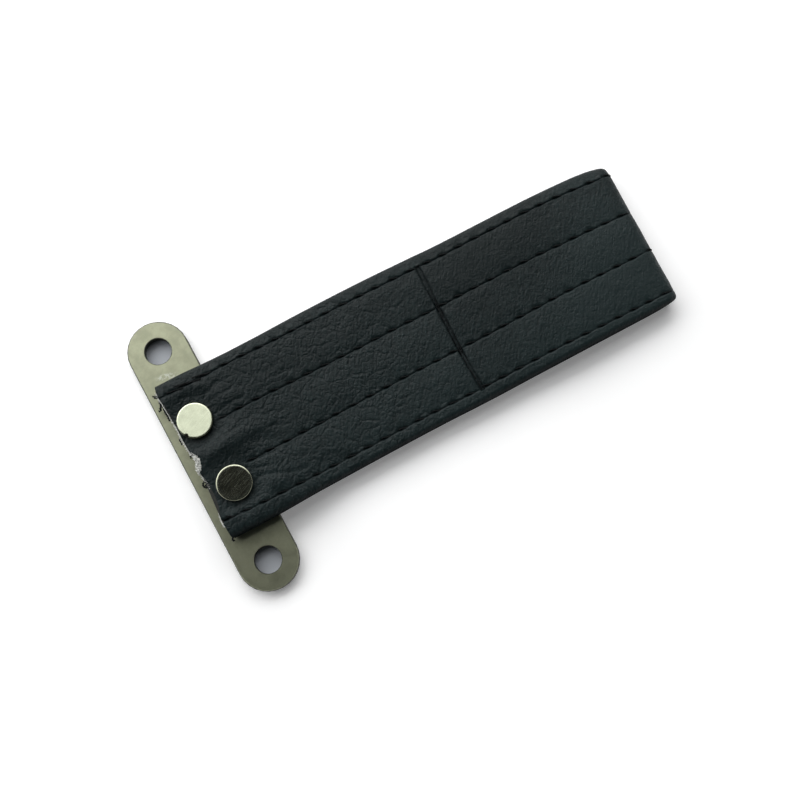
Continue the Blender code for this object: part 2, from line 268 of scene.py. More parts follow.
def span(x, y):
    return (x * x + y * y) ** 0.5


vinylLook = {
    # deep and crest bound the face's colour; line is the colour of the painted shade
    "deep": (0.0012, 0.0052, 0.0056), "crest": (0.0085, 0.0165, 0.0172), "line": (0.0060, 0.0084, 0.0088),
    "roughness": (0.44, 0.56), "specular": 0.185,
    # wrinkles of two sizes, the grain, the flecks and the slanting streaks
    "bigCell": 3.7, "bigWidth": 0.13, "bigDepth": 0.075, "bigShade": 0.45, "wander": 1.9,
    "smallCell": 1.5, "smallWidth": 0.20, "smallDepth": 0.05, "smallShade": 0.22,
    "pebble": 0.80, "pebbleDepth": 0.075,
    "fleck": 0.42, "fleckDepth": 0.13, "fleckShade": 1.3,
    "streak": 0.60, "streakDepth": 0.17, "streakShade": 1.5, "streakLong": 0.28, "streakTurn": -58.0,
    "clouds": ((6.0, 0.5, 0.6), (1.1, 0.7, 0.7)),  # size, roughness and share of each
    # painted shade: shares of the dark matte finish in the colour line, and the depths of the sunk mark between
    # which each goes
    "dulled": ((0.72, 0.10, 0.75), (0.26, 0.84, 0.98)),
}


def leathercloth():
    look = vinylLook
    paint = Paint("leathercloth")
    spot = paint.place()
    drift = paint.noise(spot, 2.6, 3.0).out("Color")
    warped = paint.vector("ADD", spot, paint.vector("SCALE", drift, Scale=look["wander"]))
    broken = paint.range(paint.noise(spot, 5.5, 2.0), 0.30, 0.52)
    creased, sunk = paint.mark("creased"), paint.mark("sunk")
    bigLines = 1 - paint.range(paint.cells(warped, look["bigCell"]), 0.0, look["bigWidth"])
    smallLines = 1 - paint.range(paint.cells(warped, look["smallCell"]), 0.0, look["smallWidth"])
    pebbles = paint.cells(spot, look["pebble"], "SMOOTH_F1")
    fleck = paint.noise(spot, look["fleck"], 2.0)
    along, across, _ = paint.axes(paint.place(turn=look["streakTurn"]))
    streak = paint.noise(paint.joined(along * look["streakLong"], across), look["streak"], 2.0)
    lines = bigLines * broken * creased
    hair = smallLines * (creased * 0.75 + 0.25)
    height = (0 - lines * look["bigDepth"] - hair * look["smallDepth"]
              + (0.5 - pebbles) * look["pebbleDepth"] + streak * look["streakDepth"]
              + fleck * look["fleckDepth"])
    mottle = (streak - 0.5) * look["streakShade"] + (fleck - 0.5) * look["fleckShade"]
    for size, rough, share in look["clouds"]:
        mottle = mottle + (paint.noise(spot, size, 3.0, rough) - 0.5) * share
    # the tone mark holds painted shade of the lower leg, the hollows and the slope across, besides the lightness
    # along the strap
    shade = paint.mix(paint.mark("tone") + mottle, look["deep"], look["crest"])
    # painted shade: the wrinkle lines are painted darker
    shade = paint.mix(lines * look["bigShade"] + hair * look["smallShade"], shade, look["deep"])
    (much, low, high), (more, deep, deepest) = look["dulled"]
    # painted shade: grooves, needle holes, cross seams, the lower edge and the underside turn dark and matte by
    # the sunk mark
    paint.dulled(paint.range(sunk, low, high) * much + paint.range(sunk, deep, deepest) * more, look["line"])
    rough = paint.range(paint.noise(spot, 1.6, 3.0), 0.3, 0.7, *look["roughness"])
    return paint.finish(BaseColor=shade, Roughness=rough, SpecularIORLevel=look["specular"],
                        Normal=paint.bump(height))


# finishes with a fuzzy surface: fuzz (size, detail, roughness), its depth and the colours that it mixes
fuzzyLooks = {
    "cutEdge": {"fuzz": (0.25, 3.0, 0.7), "depth": 0.15, "roughness": 0.95, "specular": 0.1,
                "low": (0.010, 0.011, 0.011), "high": (0.055, 0.057, 0.052)},
    "blackThread": {"fuzz": (0.16, 2.0, 0.6), "depth": 0.03, "roughness": 0.70, "specular": 0.12,
                    "low": (0.0055, 0.0068, 0.0070), "high": (0.0130, 0.0150, 0.0155)},
    # the cross seams' thread: a darker copy of the same black thread, as painted shade in the seam's groove
    "seamThread": {"fuzz": (0.16, 2.0, 0.6), "depth": 0.03, "roughness": 0.70, "specular": 0.12,
                   "low": (0.0018, 0.0024, 0.0026), "high": (0.0070, 0.0085, 0.0090)},
    "paleFibre": {"fuzz": (0.3, 3.0, 0.7), "depth": 0.06, "roughness": 0.95, "specular": 0.2,
                  "low": (0.70, 0.71, 0.67), "high": (0.92, 0.93, 0.89), "weave": 1.1, "weaveDepth": 0.05},
}


def fuzzyFinish(name):
    look, paint = fuzzyLooks[name], Paint(name)
    spot = paint.place()
    fuzz = paint.noise(spot, *look["fuzz"])
    height = fuzz * look["depth"]
    if "weave" in look:
        bands = paint.node("ShaderNodeTexWave", {"bands_direction": "Y"}, spot, Scale=look["weave"],
                           Distortion=0.6)
        height = height + bands * look["weaveDepth"]
    return paint.finish(BaseColor=paint.mix(fuzz, look["low"], look["high"]), Roughness=look["roughness"],
                        SpecularIORLevel=look["specular"], Normal=paint.bump(height))


plateLook = {
    "metal": (0.318, 0.330, 0.232), "dull": (0.248, 0.258, 0.182), "speck": (0.24, 0.25, 0.19),
    # painted shade: a dark line of colour line at the plate's outline (lineWidth) and round its holes
    # (holeLine), softened over fade
    "line": (0.030, 0.032, 0.022), "lineWidth": 0.24, "holeLine": 0.10, "fade": 0.10,
    "roughness": (0.33, 0.44),
    "scuff": (-1.2, 21.9), "scuffReach": (3.4, 1.0), "scuffTurn": 14.0, "scuffed": (0.70, 0.72, 0.68),
    "turn": -0.85, "holeSpacing": 57.0, "width": 14.9, "hole": 6.6,
}


def platedSteel():
    look = plateLook
    paint = Paint("platedSteel")
    spot = paint.place(turn=look["turn"])
    x, y, _ = paint.axes(spot)
    side = abs(y) - look["holeSpacing"] / 2
    rim = look["width"] / 2 - look["lineWidth"]
    lip = look["hole"] / 2 + look["holeLine"]
    ripple = (paint.noise(spot, 1.4, 2.0) - 0.5) * 0.12
    edge = paint.range(span(x, side.atLeast(0.0)) + ripple, rim - look["fade"], rim + look["fade"])
    holeEdge = 1 - paint.range(span(x, side) + ripple, lip - look["fade"], lip + look["fade"])
    # painted shade along the plate's edges and round the holes
    paintedShade = edge.atLeast(holeEdge)
    cloud = paint.noise(spot, 3.4, 4.0, 0.6)
    speck = paint.noise(spot, 0.35, 3.0, 0.7)
    shade = paint.mix(paint.range(cloud, 0.3, 0.7), look["metal"], look["dull"])
    shade = paint.mix(paint.range(speck, 0.55, 0.75) * 0.35, shade, look["speck"])
    long, tall, _ = paint.axes(paint.place(turn=look["scuffTurn"], shift=look["scuff"]))
    long, tall = long / look["scuffReach"][0], tall / look["scuffReach"][1]
    scuff = 1 - paint.range(long * long + tall * tall, 0.15, 1.0)
    scuff = scuff * paint.range(paint.noise(spot, 0.7, 4.0, 0.7), 0.42, 0.60)
    shade = paint.mix(scuff * 0.30, shade, look["scuffed"])
    # painted shade: the edge lines go dark and less metallic
    shade = paint.mix(paintedShade * 0.92, shade, look["line"])
    return paint.finish(BaseColor=shade, Metallic=1.0 - (paintedShade * 0.5).atLeast(scuff * 0.4),
                        Roughness=paint.range(cloud, 0.3, 0.7, *look["roughness"]),
                        Normal=paint.bump(speck * 0.012 + cloud * 0.02))


nickelLook = {
    "upper": {"metal": (0.665, 0.705, 0.530), "dull": (0.625, 0.665, 0.500), "roughness": (0.15, 0.18),
              "brushing": 0.06, "brushDepth": 0.003, "rimDark": 0.97, "rimFrom": (4.02, 4.16),
              "nick": (-2.95, 5.6)},
    # the lower rivet is painted darker than the upper one and brushed dark all over: painted shade for the dark
    # reflection on its face
    "lower": {"metal": (0.42, 0.44, 0.335), "dull": (0.38, 0.39, 0.30), "roughness": (0.08, 0.11),
              "brushing": 1.0, "brushDepth": 0.007, "rimDark": 0.55, "rimFrom": (4.02, 4.20)},
    # rim is the colour of the painted shade on the heads' rims
    "brushed": (0.175, 0.180, 0.133), "rim": (0.030, 0.032, 0.018), "chip": (0.012, 0.012, 0.010),
    "brushTurn": -24.0, "face": (3.6, 3.8), "nickReach": (0.48, 0.66),
}


def nickelPlate(name, place, look):
    paint = Paint(name)
    spot = paint.place(turn=nickelLook["brushTurn"], shift=place)
    x, y, z = paint.axes(spot)
    brushed = paint.noise(paint.joined(x * 0.22, y * 3.2, z * 0.5), 0.8, 4.0, 0.65)
    cloud = paint.noise(spot, 2.4, 3.0)
    shade = paint.mix(paint.range(cloud, 0.3, 0.7), look["metal"], look["dull"])
    onFace = 1 - paint.range(span(x, y), *nickelLook["face"])
    # brushed streaks painted darker: real streaks on the upper rivet, mostly painted shade on the lower one
    brushedAndShaded = paint.range(brushed, 0.38, 0.58) * onFace * look["brushing"]
    shade = paint.mix(brushedAndShaded, shade, nickelLook["brushed"])
    # painted shade: each head's rolled rim is darkened
    shade = paint.mix(paint.range(span(x, y), *look["rimFrom"]) * look["rimDark"], shade, nickelLook["rim"])
    if "nick" in look:
        away = span(*paint.axes(paint.place(shift=look["nick"]))[:2])
        chipped = 1 - paint.range(away + paint.noise(spot, 0.5, 2.0) * 0.5 - 0.25, *nickelLook["nickReach"])
        shade = paint.mix(chipped, shade, nickelLook["chip"])
    return paint.finish(BaseColor=shade, Metallic=1.0,
                        Roughness=paint.range(cloud, 0.3, 0.7, *look["roughness"]),
                        Normal=paint.bump(brushed * look["brushDepth"]))


# The strap's path

strap = {
    "cut": -4.1, "length": 123.75, "leg": 2.6, "legGap": 0.3, "seatGap": 0.2,
    "stepStart": 8.65, "stepLength": 17.0,
    "seam": 64.5, "seamLift": 0.35, "seamSpread": 4.0,
    "foldGap": 0.8, "loopOpening": 0.9,
    "roll": 1.3, "endRoll": 0.9,  # from the edge to where the face is level, and how much more at the cut
    "upperMore": 0.07, "lowerMore": 0.20,  # beyond the readings of the edges
    "lowerInset": 0.05,  # of the upper leg's lower edge
    "level": 1.22, "levelBelow": 1.14,  # of the face above the leg's middle, on the two legs
    "dome": 0.22, "groove": 0.45, "foldGroove": 0.16,
    # a groove's depth between two stitches, as a share, its two slopes, and the pits at the stitches
    "betweenDepth": 0.45, "wideSide": 0.15, "crispSide": 0.13, "bite": 0.76, "pucker": 0.13,
    "stripTilt": 0.22, "flattens": (114.5, 3.5),  # from here on before the fold, and over how long
    "slotIn": 2.15, "slotHalf": 0.4,  # of the strip inside: from the edges, and half its height
    # readings (along, across) of the two edges and the four rows
    "upperEdge": ((-4.4, 19.7), (2, 19.83), (5, 19.75), (9, 19.52), (12.4, 19.56), (17.2, 19.91),
        (21.9, 20.25), (26.8, 20.47), (36.5, 20.7), (46.3, 20.78), (56.2, 20.74), (61.2, 20.56),
        (66.1, 20.4), (76.1, 20.3), (86.1, 20.24), (96.3, 20.3), (101.5, 20.26), (106.7, 20.19),
        (110.7, 20.04), (113.3, 19.87), (115.9, 19.54), (117.6, 19.15), (118.8, 18.6), (119.7, 17.9)),
    "lowerEdge": ((-4.2, -20.3), (1.8, -20.35), (6.5, -20.35), (8.8, -20.3), (12.3, -20.14), (17, -19.84),
                  (21.8, -19.67), (26.6, -19.6), (36.2, -19.47), (46, -19.37), (55.8, -19.37), (60.7, -19.5),
                  (65.6, -19.57), (75.7, -19.45), (85.8, -19.43), (106.2, -19.38), (112.7, -19.36),
                  (116.2, -19.3), (118.2, -19.15), (119.6, -18.7)),
    "rows": (
        ((-3, 17.03), (7.8, 17.1), (19.5, 17.68), (31.6, 17.81), (43.7, 17.91), (53.6, 17.82), (61, 17.69),
         (68.4, 17.5), (88, 17.45), (96, 17.5), (103.7, 17.4), (109, 17.08), (114.1, 16.77), (119.6, 16.4)),
        ((7.8, 6.1), (14, 6.45), (19.5, 6.61), (31.5, 6.61), (43.5, 6.46), (53.3, 6.58),
        (60.7, 6.38), (68.1, 6.4), (73.1, 6.6), (80.5, 6.44), (92.9, 6.4), (98, 6.18),
        (105.8, 6.04), (111, 5.94), (114.9, 5.7), (119.6, 5.6)),
        ((7.8, -6.06), (19.4, -5.63), (31.3, -5.33), (43.4, -5.15), (53.1, -5.05), (60.4, -5.18),
        (67.8, -5.23), (80.1, -5.2), (87.5, -5.1), (95, -5), (105.2, -5.09), (113, -5.22),
        (119.6, -5.1)),
        ((-3, -15.7), (0, -15.85), (5.5, -16.2), (10.1, -16.25), (19.4, -16.07), (31.2, -16), (43.2, -15.88),
         (52.8, -15.95), (60.1, -16.15), (67.4, -16.22), (80, -16.2), (87, -16.19), (94.5, -16.44),
         (104.7, -16.53), (115, -16.64), (119.5, -16.6)),
    ),
    # where the cut lies, from side to side, and how far the seam and the fold lie off their straight lines
    "ragged": ((-21, -4.1), (-19.7, -4.31), (-17.7, -4.44), (-15.8, -4.59), (-14.2, -4.17), (-12.7, -3.72),
               (-11.1, -3.43), (-8.8, -3.35), (-6.1, -3.49), (-4.9, -3.86), (-3.7, -4.08), (-2.5, -3.7),
               (-1, -3.02), (0.2, -3.15), (1.4, -3.92), (3.4, -4.14), (5.7, -4.23), (9.3, -4.14),
               (12.9, -4.22), (14.8, -4.42), (15.7, -4.66), (17.7, -4.84), (19.3, -4.57),
               (20, -4.45)),
    "seamBow": ((-17, 0.02), (-13.2, -0.14), (-10.7, -0.27), (-6, -0.24), (-0.9, -0.1), (4, 0.03),
        (6.5, 0.05), (10.2, 0.2), (13.9, 0.3), (17, 0.43)),
    "rowsLower": (0.48, 0.36),  # left and right, than the readings of the stitches' middles
    "foldLean": 0.0235, "foldLeanFrom": -1.0,
    # how far the lower leg's cut lies behind the upper leg's
    "tuck": ((-20, 0.2), (-15.5, 0.2), (-14, -0.45), (-9.5, -0.45), (-7.5, 0.1), (7.5, 0.1), (9.5, -0.55),
             (16.5, -0.55), (18.5, 0.2), (20, 0.2)),
    "stitch": 4.6,
    "holePlaces": (20.15, 18.75, 15.95, 14.3),  # one needle hole of each row
}
halfLeg = strap["leg"] / 2
foldRadius = (strap["leg"] + strap["foldGap"]) / 2
foldX = strap["cut"] + strap["length"]
foldCentre = foldX - foldRadius - halfLeg
upperEdgeAt = smoothLine(strap["upperEdge"])
lowerEdgeAt = smoothLine(strap["lowerEdge"])
rowReadings = [smoothLine(row) for row in strap["rows"]]
raggedAt = smoothLine(strap["ragged"], soft=0.35)
seamBowAt = smoothLine(strap["seamBow"])
tuckAt = smoothLine(strap["tuck"], soft=0.6)


def rowPlace(reading, x):
    left, right = strap["rowsLower"]
    return reading(x) - left + (left - right) * ease((x - 30) / 50)


rowsAt = [partial(rowPlace, reading) for reading in rowReadings]


def lowerMiddle(x):
    onPlate = 1 - ease((x - strap["stepStart"]) / strap["stepLength"])
    nip = np.exp(-(((x - strap["seam"]) / strap["seamSpread"]) ** 2))
    return onPlate * (plateTop + strap["seatGap"]) + nip * strap["seamLift"] + halfLeg


def opening(x):
    share = np.clip((x - strap["seam"]) / (foldCentre - strap["seam"]), 0, 1)
    bulge = np.sin(math.pi * share) ** 2
    return strap["legGap"] + (strap["foldGap"] - strap["legGap"]) * ease(share) + strap["loopOpening"] * bulge


def stripPath():
    xs = np.arange(strap["cut"] - 3.0, foldCentre, 0.25)
    lower = lowerMiddle(xs)
    upper = lower + strap["leg"] + opening(xs)
    endLower = lowerMiddle(np.array(foldCentre))
    middle = endLower + (strap["leg"] + strap["foldGap"]) / 2
    angles = np.radians(np.arange(90, -91, -4.5))
    bend = np.column_stack((foldCentre + foldRadius * np.cos(angles), middle + foldRadius * np.sin(angles)))
    line = np.vstack((np.column_stack((xs, upper)), bend, np.column_stack((xs, lower))[::-1]))
    lengths = np.concatenate(([0], np.cumsum(np.hypot(*np.diff(line, axis=0).T))))
    start = np.interp(strap["cut"], xs, lengths[:len(xs)])
    return line, lengths - start, lengths[len(xs)] - start, lengths[len(xs) + len(bend) - 1] - start


pathLine, pathLengths, foldStart, foldEnd = stripPath()
stripEnd = pathLengths[-1] + pathLengths[0]
pathSlopes = np.gradient(pathLine, pathLengths, axis=0)


def follow(distance):
    x, z = (np.interp(distance, pathLengths, pathLine[:, axis]) for axis in (0, 1))
    run, rise = (np.interp(distance, pathLengths, pathSlopes[:, axis]) for axis in (0, 1))
    size = np.hypot(run, rise)
    return x, z, -rise / size, run / size


def distanceAt(x, lower=False):
    if lower:
        lowerLeg = pathLengths >= foldEnd
        return np.interp(-np.asarray(x), -pathLine[lowerLeg, 0], pathLengths[lowerLeg])
    return np.interp(x, pathLine[pathLengths <= foldStart, 0], pathLengths[pathLengths <= foldStart])


def onStrip(distance, across, height):
    # the ragged cut shifts the last few millimetres of each leg, and the seam and the fold lie a little askew
    ragged = raggedAt(across) - strap["cut"]
    tuck = tuckAt(across) + 0.10 * unevenness(across, across * 0, 1.3, 31)
    near = np.clip(1 - distance / 6.0, 0, 1.6) ** 2
    far = np.clip(1 - (stripEnd - distance) / 6.0, 0, 1.6) ** 2
    moved = distance + ragged * near - (ragged + tuck) * far
    x, z, side, up = follow(moved)
    lean = strap["foldLean"] * (across - strap["foldLeanFrom"]) * ease((x - 99) / 18)
    bow = seamBowAt(across) * np.exp(-((x - strap["seam"]) / 6.0) ** 2)
    return np.stack((x + side * height + lean + bow, across + 0 * x, z + up * height), axis=-1)


seamDistances = (float(distanceAt(strap["seam"])), float(distanceAt(strap["seam"], lower=True)))


# The leather's outer face

rivetLook = {
    "upper": (0.40, 7.95), "lower": (2.00, -9.35),
    "head": 8.6, "thickness": 1.1, "rim": 0.36, "shank": 4.0,
    "tail": 6.2, "tailBore": 2.4, "countersink": 1.45, "recess": 0.15, "curl": 0.4,
    "sides": 96,
}
headSeat = headTop - rivetLook["thickness"]

quilt = {
    "pressReach": 4.6, "pressFirst": 0.1, "lip": 0.05,
    "holeDepth": 0.28, "holeLength": 0.40, "holeWidth": 0.22,
    "slant": 0.30,
    "seamFloor": 0.42, "seamSlope": 0.42, "seamPucker": 0.13,
    "sag": 0.09, "wrinkle": 0.035,
    # swells round the rivets (x, y, reach along, reach across, degrees, rise)
    "swells": (
        (4.5, 0.3, 8.5, 2.3, -2, 0.58), (1.5, 15.2, 7.0, 1.5, 0, 0.30), (2.0, -15.3, 6.5, 1.2, 0, 0.26),
        (10.2, -13.4, 3.6, 1.7, -18, 0.25), (9.0, 3.0, 3.5, 1.3, -12, 0.16), (8.0, 10.5, 3.4, 1.5, -14, 0.14),
        (12.5, -3.2, 4.0, 1.4, -20, -0.20), (-2.4, -13.2, 1.8, 2.4, 0, 0.14),
    ),
    # creases (start, middle, end, depth, width), seen near the rivets
    "creases": (
        ((6.6, -10.6), (10.0, -10.7), (13.3, -12.8), 0.34, 0.34),
        ((13.3, -12.8), (15.4, -14.0), (19.8, -13.6), 0.24, 0.34),
        ((-4.0, 0.5), (1.0, -0.2), (7.8, 0.2), 0.15, 0.34),
        ((2.0, 0.9), (6.0, 1.6), (13.5, 3.2), 0.20, 0.32),
        ((6.8, -6.3), (10.4, -7.3), (15.4, -6.9), 0.18, 0.30),
        ((7.0, -8.4), (9.4, -8.7), (12.4, -10.0), 0.20, 0.30),
        ((5.4, 10.5), (9.0, 11.5), (14.0, 10.6), 0.20, 0.34),
        ((5.3, 7.0), (8.4, 8.5), (13.0, 7.8), 0.20, 0.34),
        ((3.8, 11.8), (7.8, 13.8), (12.8, 14.0), 0.18, 0.34),
        ((10.4, -1.6), (14.4, -0.6), (18.4, -2.2), 0.18, 0.34),
        ((12.4, 3.4), (16.6, 1.2), (19.4, 1.6), 0.18, 0.34),
        ((17.4, 12.2), (21.4, 10.6), (24.4, 12.6), 0.18, 0.34),
        ((19.8, 9.2), (25.0, 10.2), (28.4, 8.2), 0.17, 0.34),
        ((-3.0, -13.9), (0.4, -14.8), (2.6, -14.6), 0.15, 0.34),
    ),
    # how light the face is painted along the strap
    # painted shade: the lower leg is painted darker, and each hollow takes lightness off
    "lowerTone": -0.12, "hollowTone": 0.6,  # of the lower leg, and how much a whole hollow takes off
    "tone": ((-4, 0.32), (12, 0.33), (30, 0.38), (52, 0.47), (62, 0.54), (67, 0.12), (80, 0.22), (95, 0.50),
             (103, 1.00), (112, 1.30), (117, 1.0), (120, 0.70)),
    # painted shade: the face gets darker towards the upper edge, against the light of the near card
    "toneSlope": (-0.023, -0.045), "slopeFrom": (64, 92),  # a mm towards the upper edge, and between where
    "stripTone": 0.38,  # more on the strip above the first row
    # painted shade in the hollows (x, y, reach along, reach across, share)
    "hollows": ((5.6, -3.0, 5.8, 2.1, 1.0), (0.5, 14.4, 5.5, 1.6, 0.9), (8.0, 13.8, 4.0, 1.6, 0.4),
                (1.5, 17.9, 5.0, 0.8, 0.9), (8.0, 8.4, 3.6, 1.6, 0.6), (-1.0, -17.9, 12.0, 0.8, 0.5)),
    # painted shade: how far the lower edge is in the dark, ring by ring on the top leg, then the lower leg and
    # the underside
    "dusk": ((-1, 5), (0, 0.80)), "duskBelow": 0.85, "duskUnder": 0.9,
    "creasedShare": (0.16, 0.84), "creasedUpTo": (40, 26),  # beyond this place and before it
    # at each stitch a pit above the row and a pucker between two of them: places and reaches as shares of it
    "pit": 0.24, "pitDrift": 0.06, "pitReach": 0.21, "pitSpread": 0.08,
    "puckerPlace": (0.74, 0.42), "puckerReach": (0.17, 0.34), "puckerRise": (0.55, 0.75),
}
toneAt = smoothLine(quilt["tone"])
faceColumns = (8, 37, 38, 35, 9)  # of the strip above the rows, the three panels and the strip below


def onTopLeg(distance):
    return 1 - ease((distance - foldStart) / (foldEnd - foldStart))


def edgesAt(distance, x):
    # the strap's two edges
    upper, lower = upperEdgeAt(x) + strap["upperMore"], lowerEdgeAt(x) - strap["lowerMore"]
    return upper, lower + strap["lowerInset"] * onTopLeg(distance) * (1 - ease((x - 105) / 12))


def lowerRollAt(x):
    return strap["roll"] + strap["endRoll"] * (1 - ease((x - 6) / 16))


def faceLines(distance, x):
    # the face's upper limit, the four rows and its lower limit
    upper, lower = edgesAt(distance, x)
    return [upper - strap["roll"]] + [row(x) for row in rowsAt] + [lower + lowerRollAt(x)]


def rowGrid(distance, x):
    # across places of the columns at each station, with a column on each row
    edges = faceLines(distance, x)
    columns = []
    for panel, count in enumerate(faceColumns):
        steps = np.linspace(0, 1, count + 1)
        if 0 < panel < 4:
            steps = steps - 0.10 * np.sin(2 * math.pi * steps)
        for step in steps[:None if panel == 4 else -1]:
            columns.append(edges[panel] + (edges[panel + 1] - edges[panel]) * step)
    return np.stack(columns, axis=-1)


def panelPlace(distance, x, y):
    # panel number, and the distances to its upper and lower line, for any point of the face
    edges = faceLines(distance, x)
    above, below, panel = np.zeros(np.shape(y)), np.zeros(np.shape(y)), np.zeros(np.shape(y), int)
    for number in range(5):
        here = (y <= edges[number] + 1e-9) & (y >= edges[number + 1] - 1e-9)
        above = np.where(here, edges[number] - y, above)
        below = np.where(here, y - edges[number + 1], below)
        panel = np.where(here, number, panel)
    return panel, np.maximum(above, 0), np.maximum(below, 0)


def holeDistances(number):
    # needle holes of a row all along the strip, a whole number of stitches between the cross seams
    pitch = strap["stitch"]
    first = float(distanceAt(strap["holePlaces"][number])) % pitch
    return np.arange(first, stripEnd - 1.0, pitch)


def creaseDip(x, y):
    dip = np.zeros(np.shape(x))
    for start, middle, end, depth, width in quilt["creases"]:
        start, middle, end = (np.array(point) for point in (start, middle, end))
        for share in np.linspace(0, 1, 26):
            spot = start * (1 - share) ** 2 + middle * 2 * share * (1 - share) + end * share ** 2
            fade = math.sin(math.pi * min(max(share * 0.9 + 0.05, 0), 1)) ** 0.7
            away = (x - spot[0]) ** 2 + (y - spot[1]) ** 2
            dip = np.maximum(dip, depth * fade * np.exp(-away / width ** 2))
    return dip


def stitchPhase(number, distance):
    return (distance - holeDistances(number)[0]) / strap["stitch"]


def atFoldAt(x):
    start, length = strap["flattens"]
    return ease((x - start) / length)


def levelAt(onTop):
    return strap["level"] * onTop + strap["levelBelow"] * (1 - onTop)


def grooveAt(atFold):
    return strap["groove"] * (1 - atFold) + strap["foldGroove"] * atFold


def rowDents(distance, y, panel, above, below):
    # how deep each point lies in a row's groove, and how far it is puckered up beside one
    wide, crisp = np.full(np.shape(y), strap["wideSide"]), np.full(np.shape(y), strap["crispSide"])
    pitAbove, pitBelow, pucker = (np.zeros(np.shape(y)) for _ in range(3))
    along, beside = quilt["puckerReach"]
    for number in range(4):
        phase = stitchPhase(number, distance)
        stitch, slip = np.floor(phase), phase - np.floor(phase)
        uneven = unevenness(stitch * 3.7, y * 0, 1.0, 51 + number)
        off = (slip - quilt["pit"] - quilt["pitDrift"] * uneven + 0.5) % 1 - 0.5
        pit = np.exp(-(off / (quilt["pitReach"] + quilt["pitSpread"] * uneven)) ** 4)
        bite = strap["bite"] * (0.62 + 0.50 * uneven) * pit * np.clip(1 - 1.3 * slip, 0.25, 1)
        rise, more = quilt["puckerRise"]
        swell = rise + more * unevenness(stitch * 2.9, y * 0, 1.0, 71 + number)
        swell = swell * np.exp(-((slip - quilt["puckerPlace"][0]) / along) ** 2)
        swell = swell * np.exp(-((below - quilt["puckerPlace"][1]) / beside) ** 2)
        over, under = panel == number, panel == number + 1
        wide = np.where(over, strap["wideSide"] + bite, wide)
        crisp = np.where(under, strap["crispSide"] * (1 + 0.7 * pit), crisp)
        pitAbove, pitBelow = np.where(over, pit, pitAbove), np.where(under, pit, pitBelow)
        pucker = np.where(over, swell, pucker)
    between = strap["betweenDepth"]
    down = np.where(panel < 4, np.exp(-(below / wide) ** 1.7) * (between + (1 - between) * pitAbove), 0)
    up = np.where(panel > 0, np.exp(-(above / crisp) ** 1.7) * (between + (1 - between) * pitBelow), 0)
    return np.clip(np.maximum(down, up), 0, 1), pucker


def needleHoles(distance, x, y, atFold):
    holes = []
    for number, row in enumerate(rowsAt):
        away = y - row(x) - 0.25
        nearest = np.round(stitchPhase(number, distance)) * strap["stitch"] + holeDistances(number)[0]
        hole = np.exp(-((distance - nearest) / quilt["holeLength"]) ** 2 - (away / quilt["holeWidth"]) ** 2)
        holes.append(hole * (1 - 0.7 * atFold))
    return holes


def seamDents(distance, x, y):
    # how deep each point lies in a cross seam, how much painted shade it gets there, and the folds that the seam
    # draws in
    deep, paintedShade, folds = (np.zeros(np.shape(y)) for _ in range(3))
    inside = (y < rowsAt[0](x) + 0.5) & (y > rowsAt[3](x) - 0.5)
    for seam in seamDistances:
        off = distance - seam
        width = quilt["seamFloor"] * (1 + 0.3 * unevenness(y, y * 0, 3.0, 67))
        flat = np.where(inside, 1 - ease((np.abs(off) - width) / quilt["seamSlope"]), 0)
        strand = np.exp(-((np.abs(off) - 0.46) / 0.20) ** 2)
        patchy = np.clip(0.62 + 0.9 * unevenness(y, np.sign(off) * 3.0, 0.8, 71), 0, 1)
        deep, paintedShade = np.maximum(deep, flat), np.maximum(paintedShade, flat * (0.34 + 0.66 * strand * patchy))
        drawn = np.exp(-np.abs(off) / np.where(off > 0, 2.4, 0.9)) * (1 - np.exp(-np.abs(off) / 0.7))
        uneven = unevenness(y, y * 0 + off * 0.15, 0.95, 17) + 0.5 * unevenness(y, off * 0.2, 0.5, 19)
        folds += np.where(inside, quilt["seamPucker"] * uneven * drawn, 0)
    return deep, paintedShade, folds


def rivetDents(x, y):
    # how far each point is pressed flat under a head, the lip round it and the rucks beside it
    pressed, lip, rucks = (np.zeros(np.shape(y)) for _ in range(3))
    for place in (rivetLook["upper"], rivetLook["lower"]):
        reach = np.hypot(x - place[0], y - place[1]) - rivetLook["head"] / 2
        angle = np.arctan2(y - place[1], x - place[0])
        pressed = np.maximum(pressed, 1 - ease((reach - quilt["pressFirst"]) / quilt["pressReach"]))
        uneven = 1 + 0.5 * unevenness(angle * 2, 0, 0.6, 29)
        lip = np.maximum(lip, np.exp(-((reach - 0.32) / 0.34) ** 2) * uneven)
        ruck = unevenness(angle * 3.2, reach * 0.1, 0.8, 23) * np.exp(-np.abs(reach - 1.2) / 1.6)
        rucks += np.where(reach > 0, 0.10 * ruck * ease(reach / 0.8), 0)
    return pressed, lip, rucks


def swellsAt(x, y):
    total = np.zeros(np.shape(y))
    for sx, sy, along, across, degrees, rise in quilt["swells"]:
        turn = math.radians(degrees)
        u = (x - sx) * math.cos(turn) + (y - sy) * math.sin(turn)
        v = (y - sy) * math.cos(turn) - (x - sx) * math.sin(turn)
        total += rise * np.exp(-(u / along) ** 2 - (v / across) ** 2)
    return total


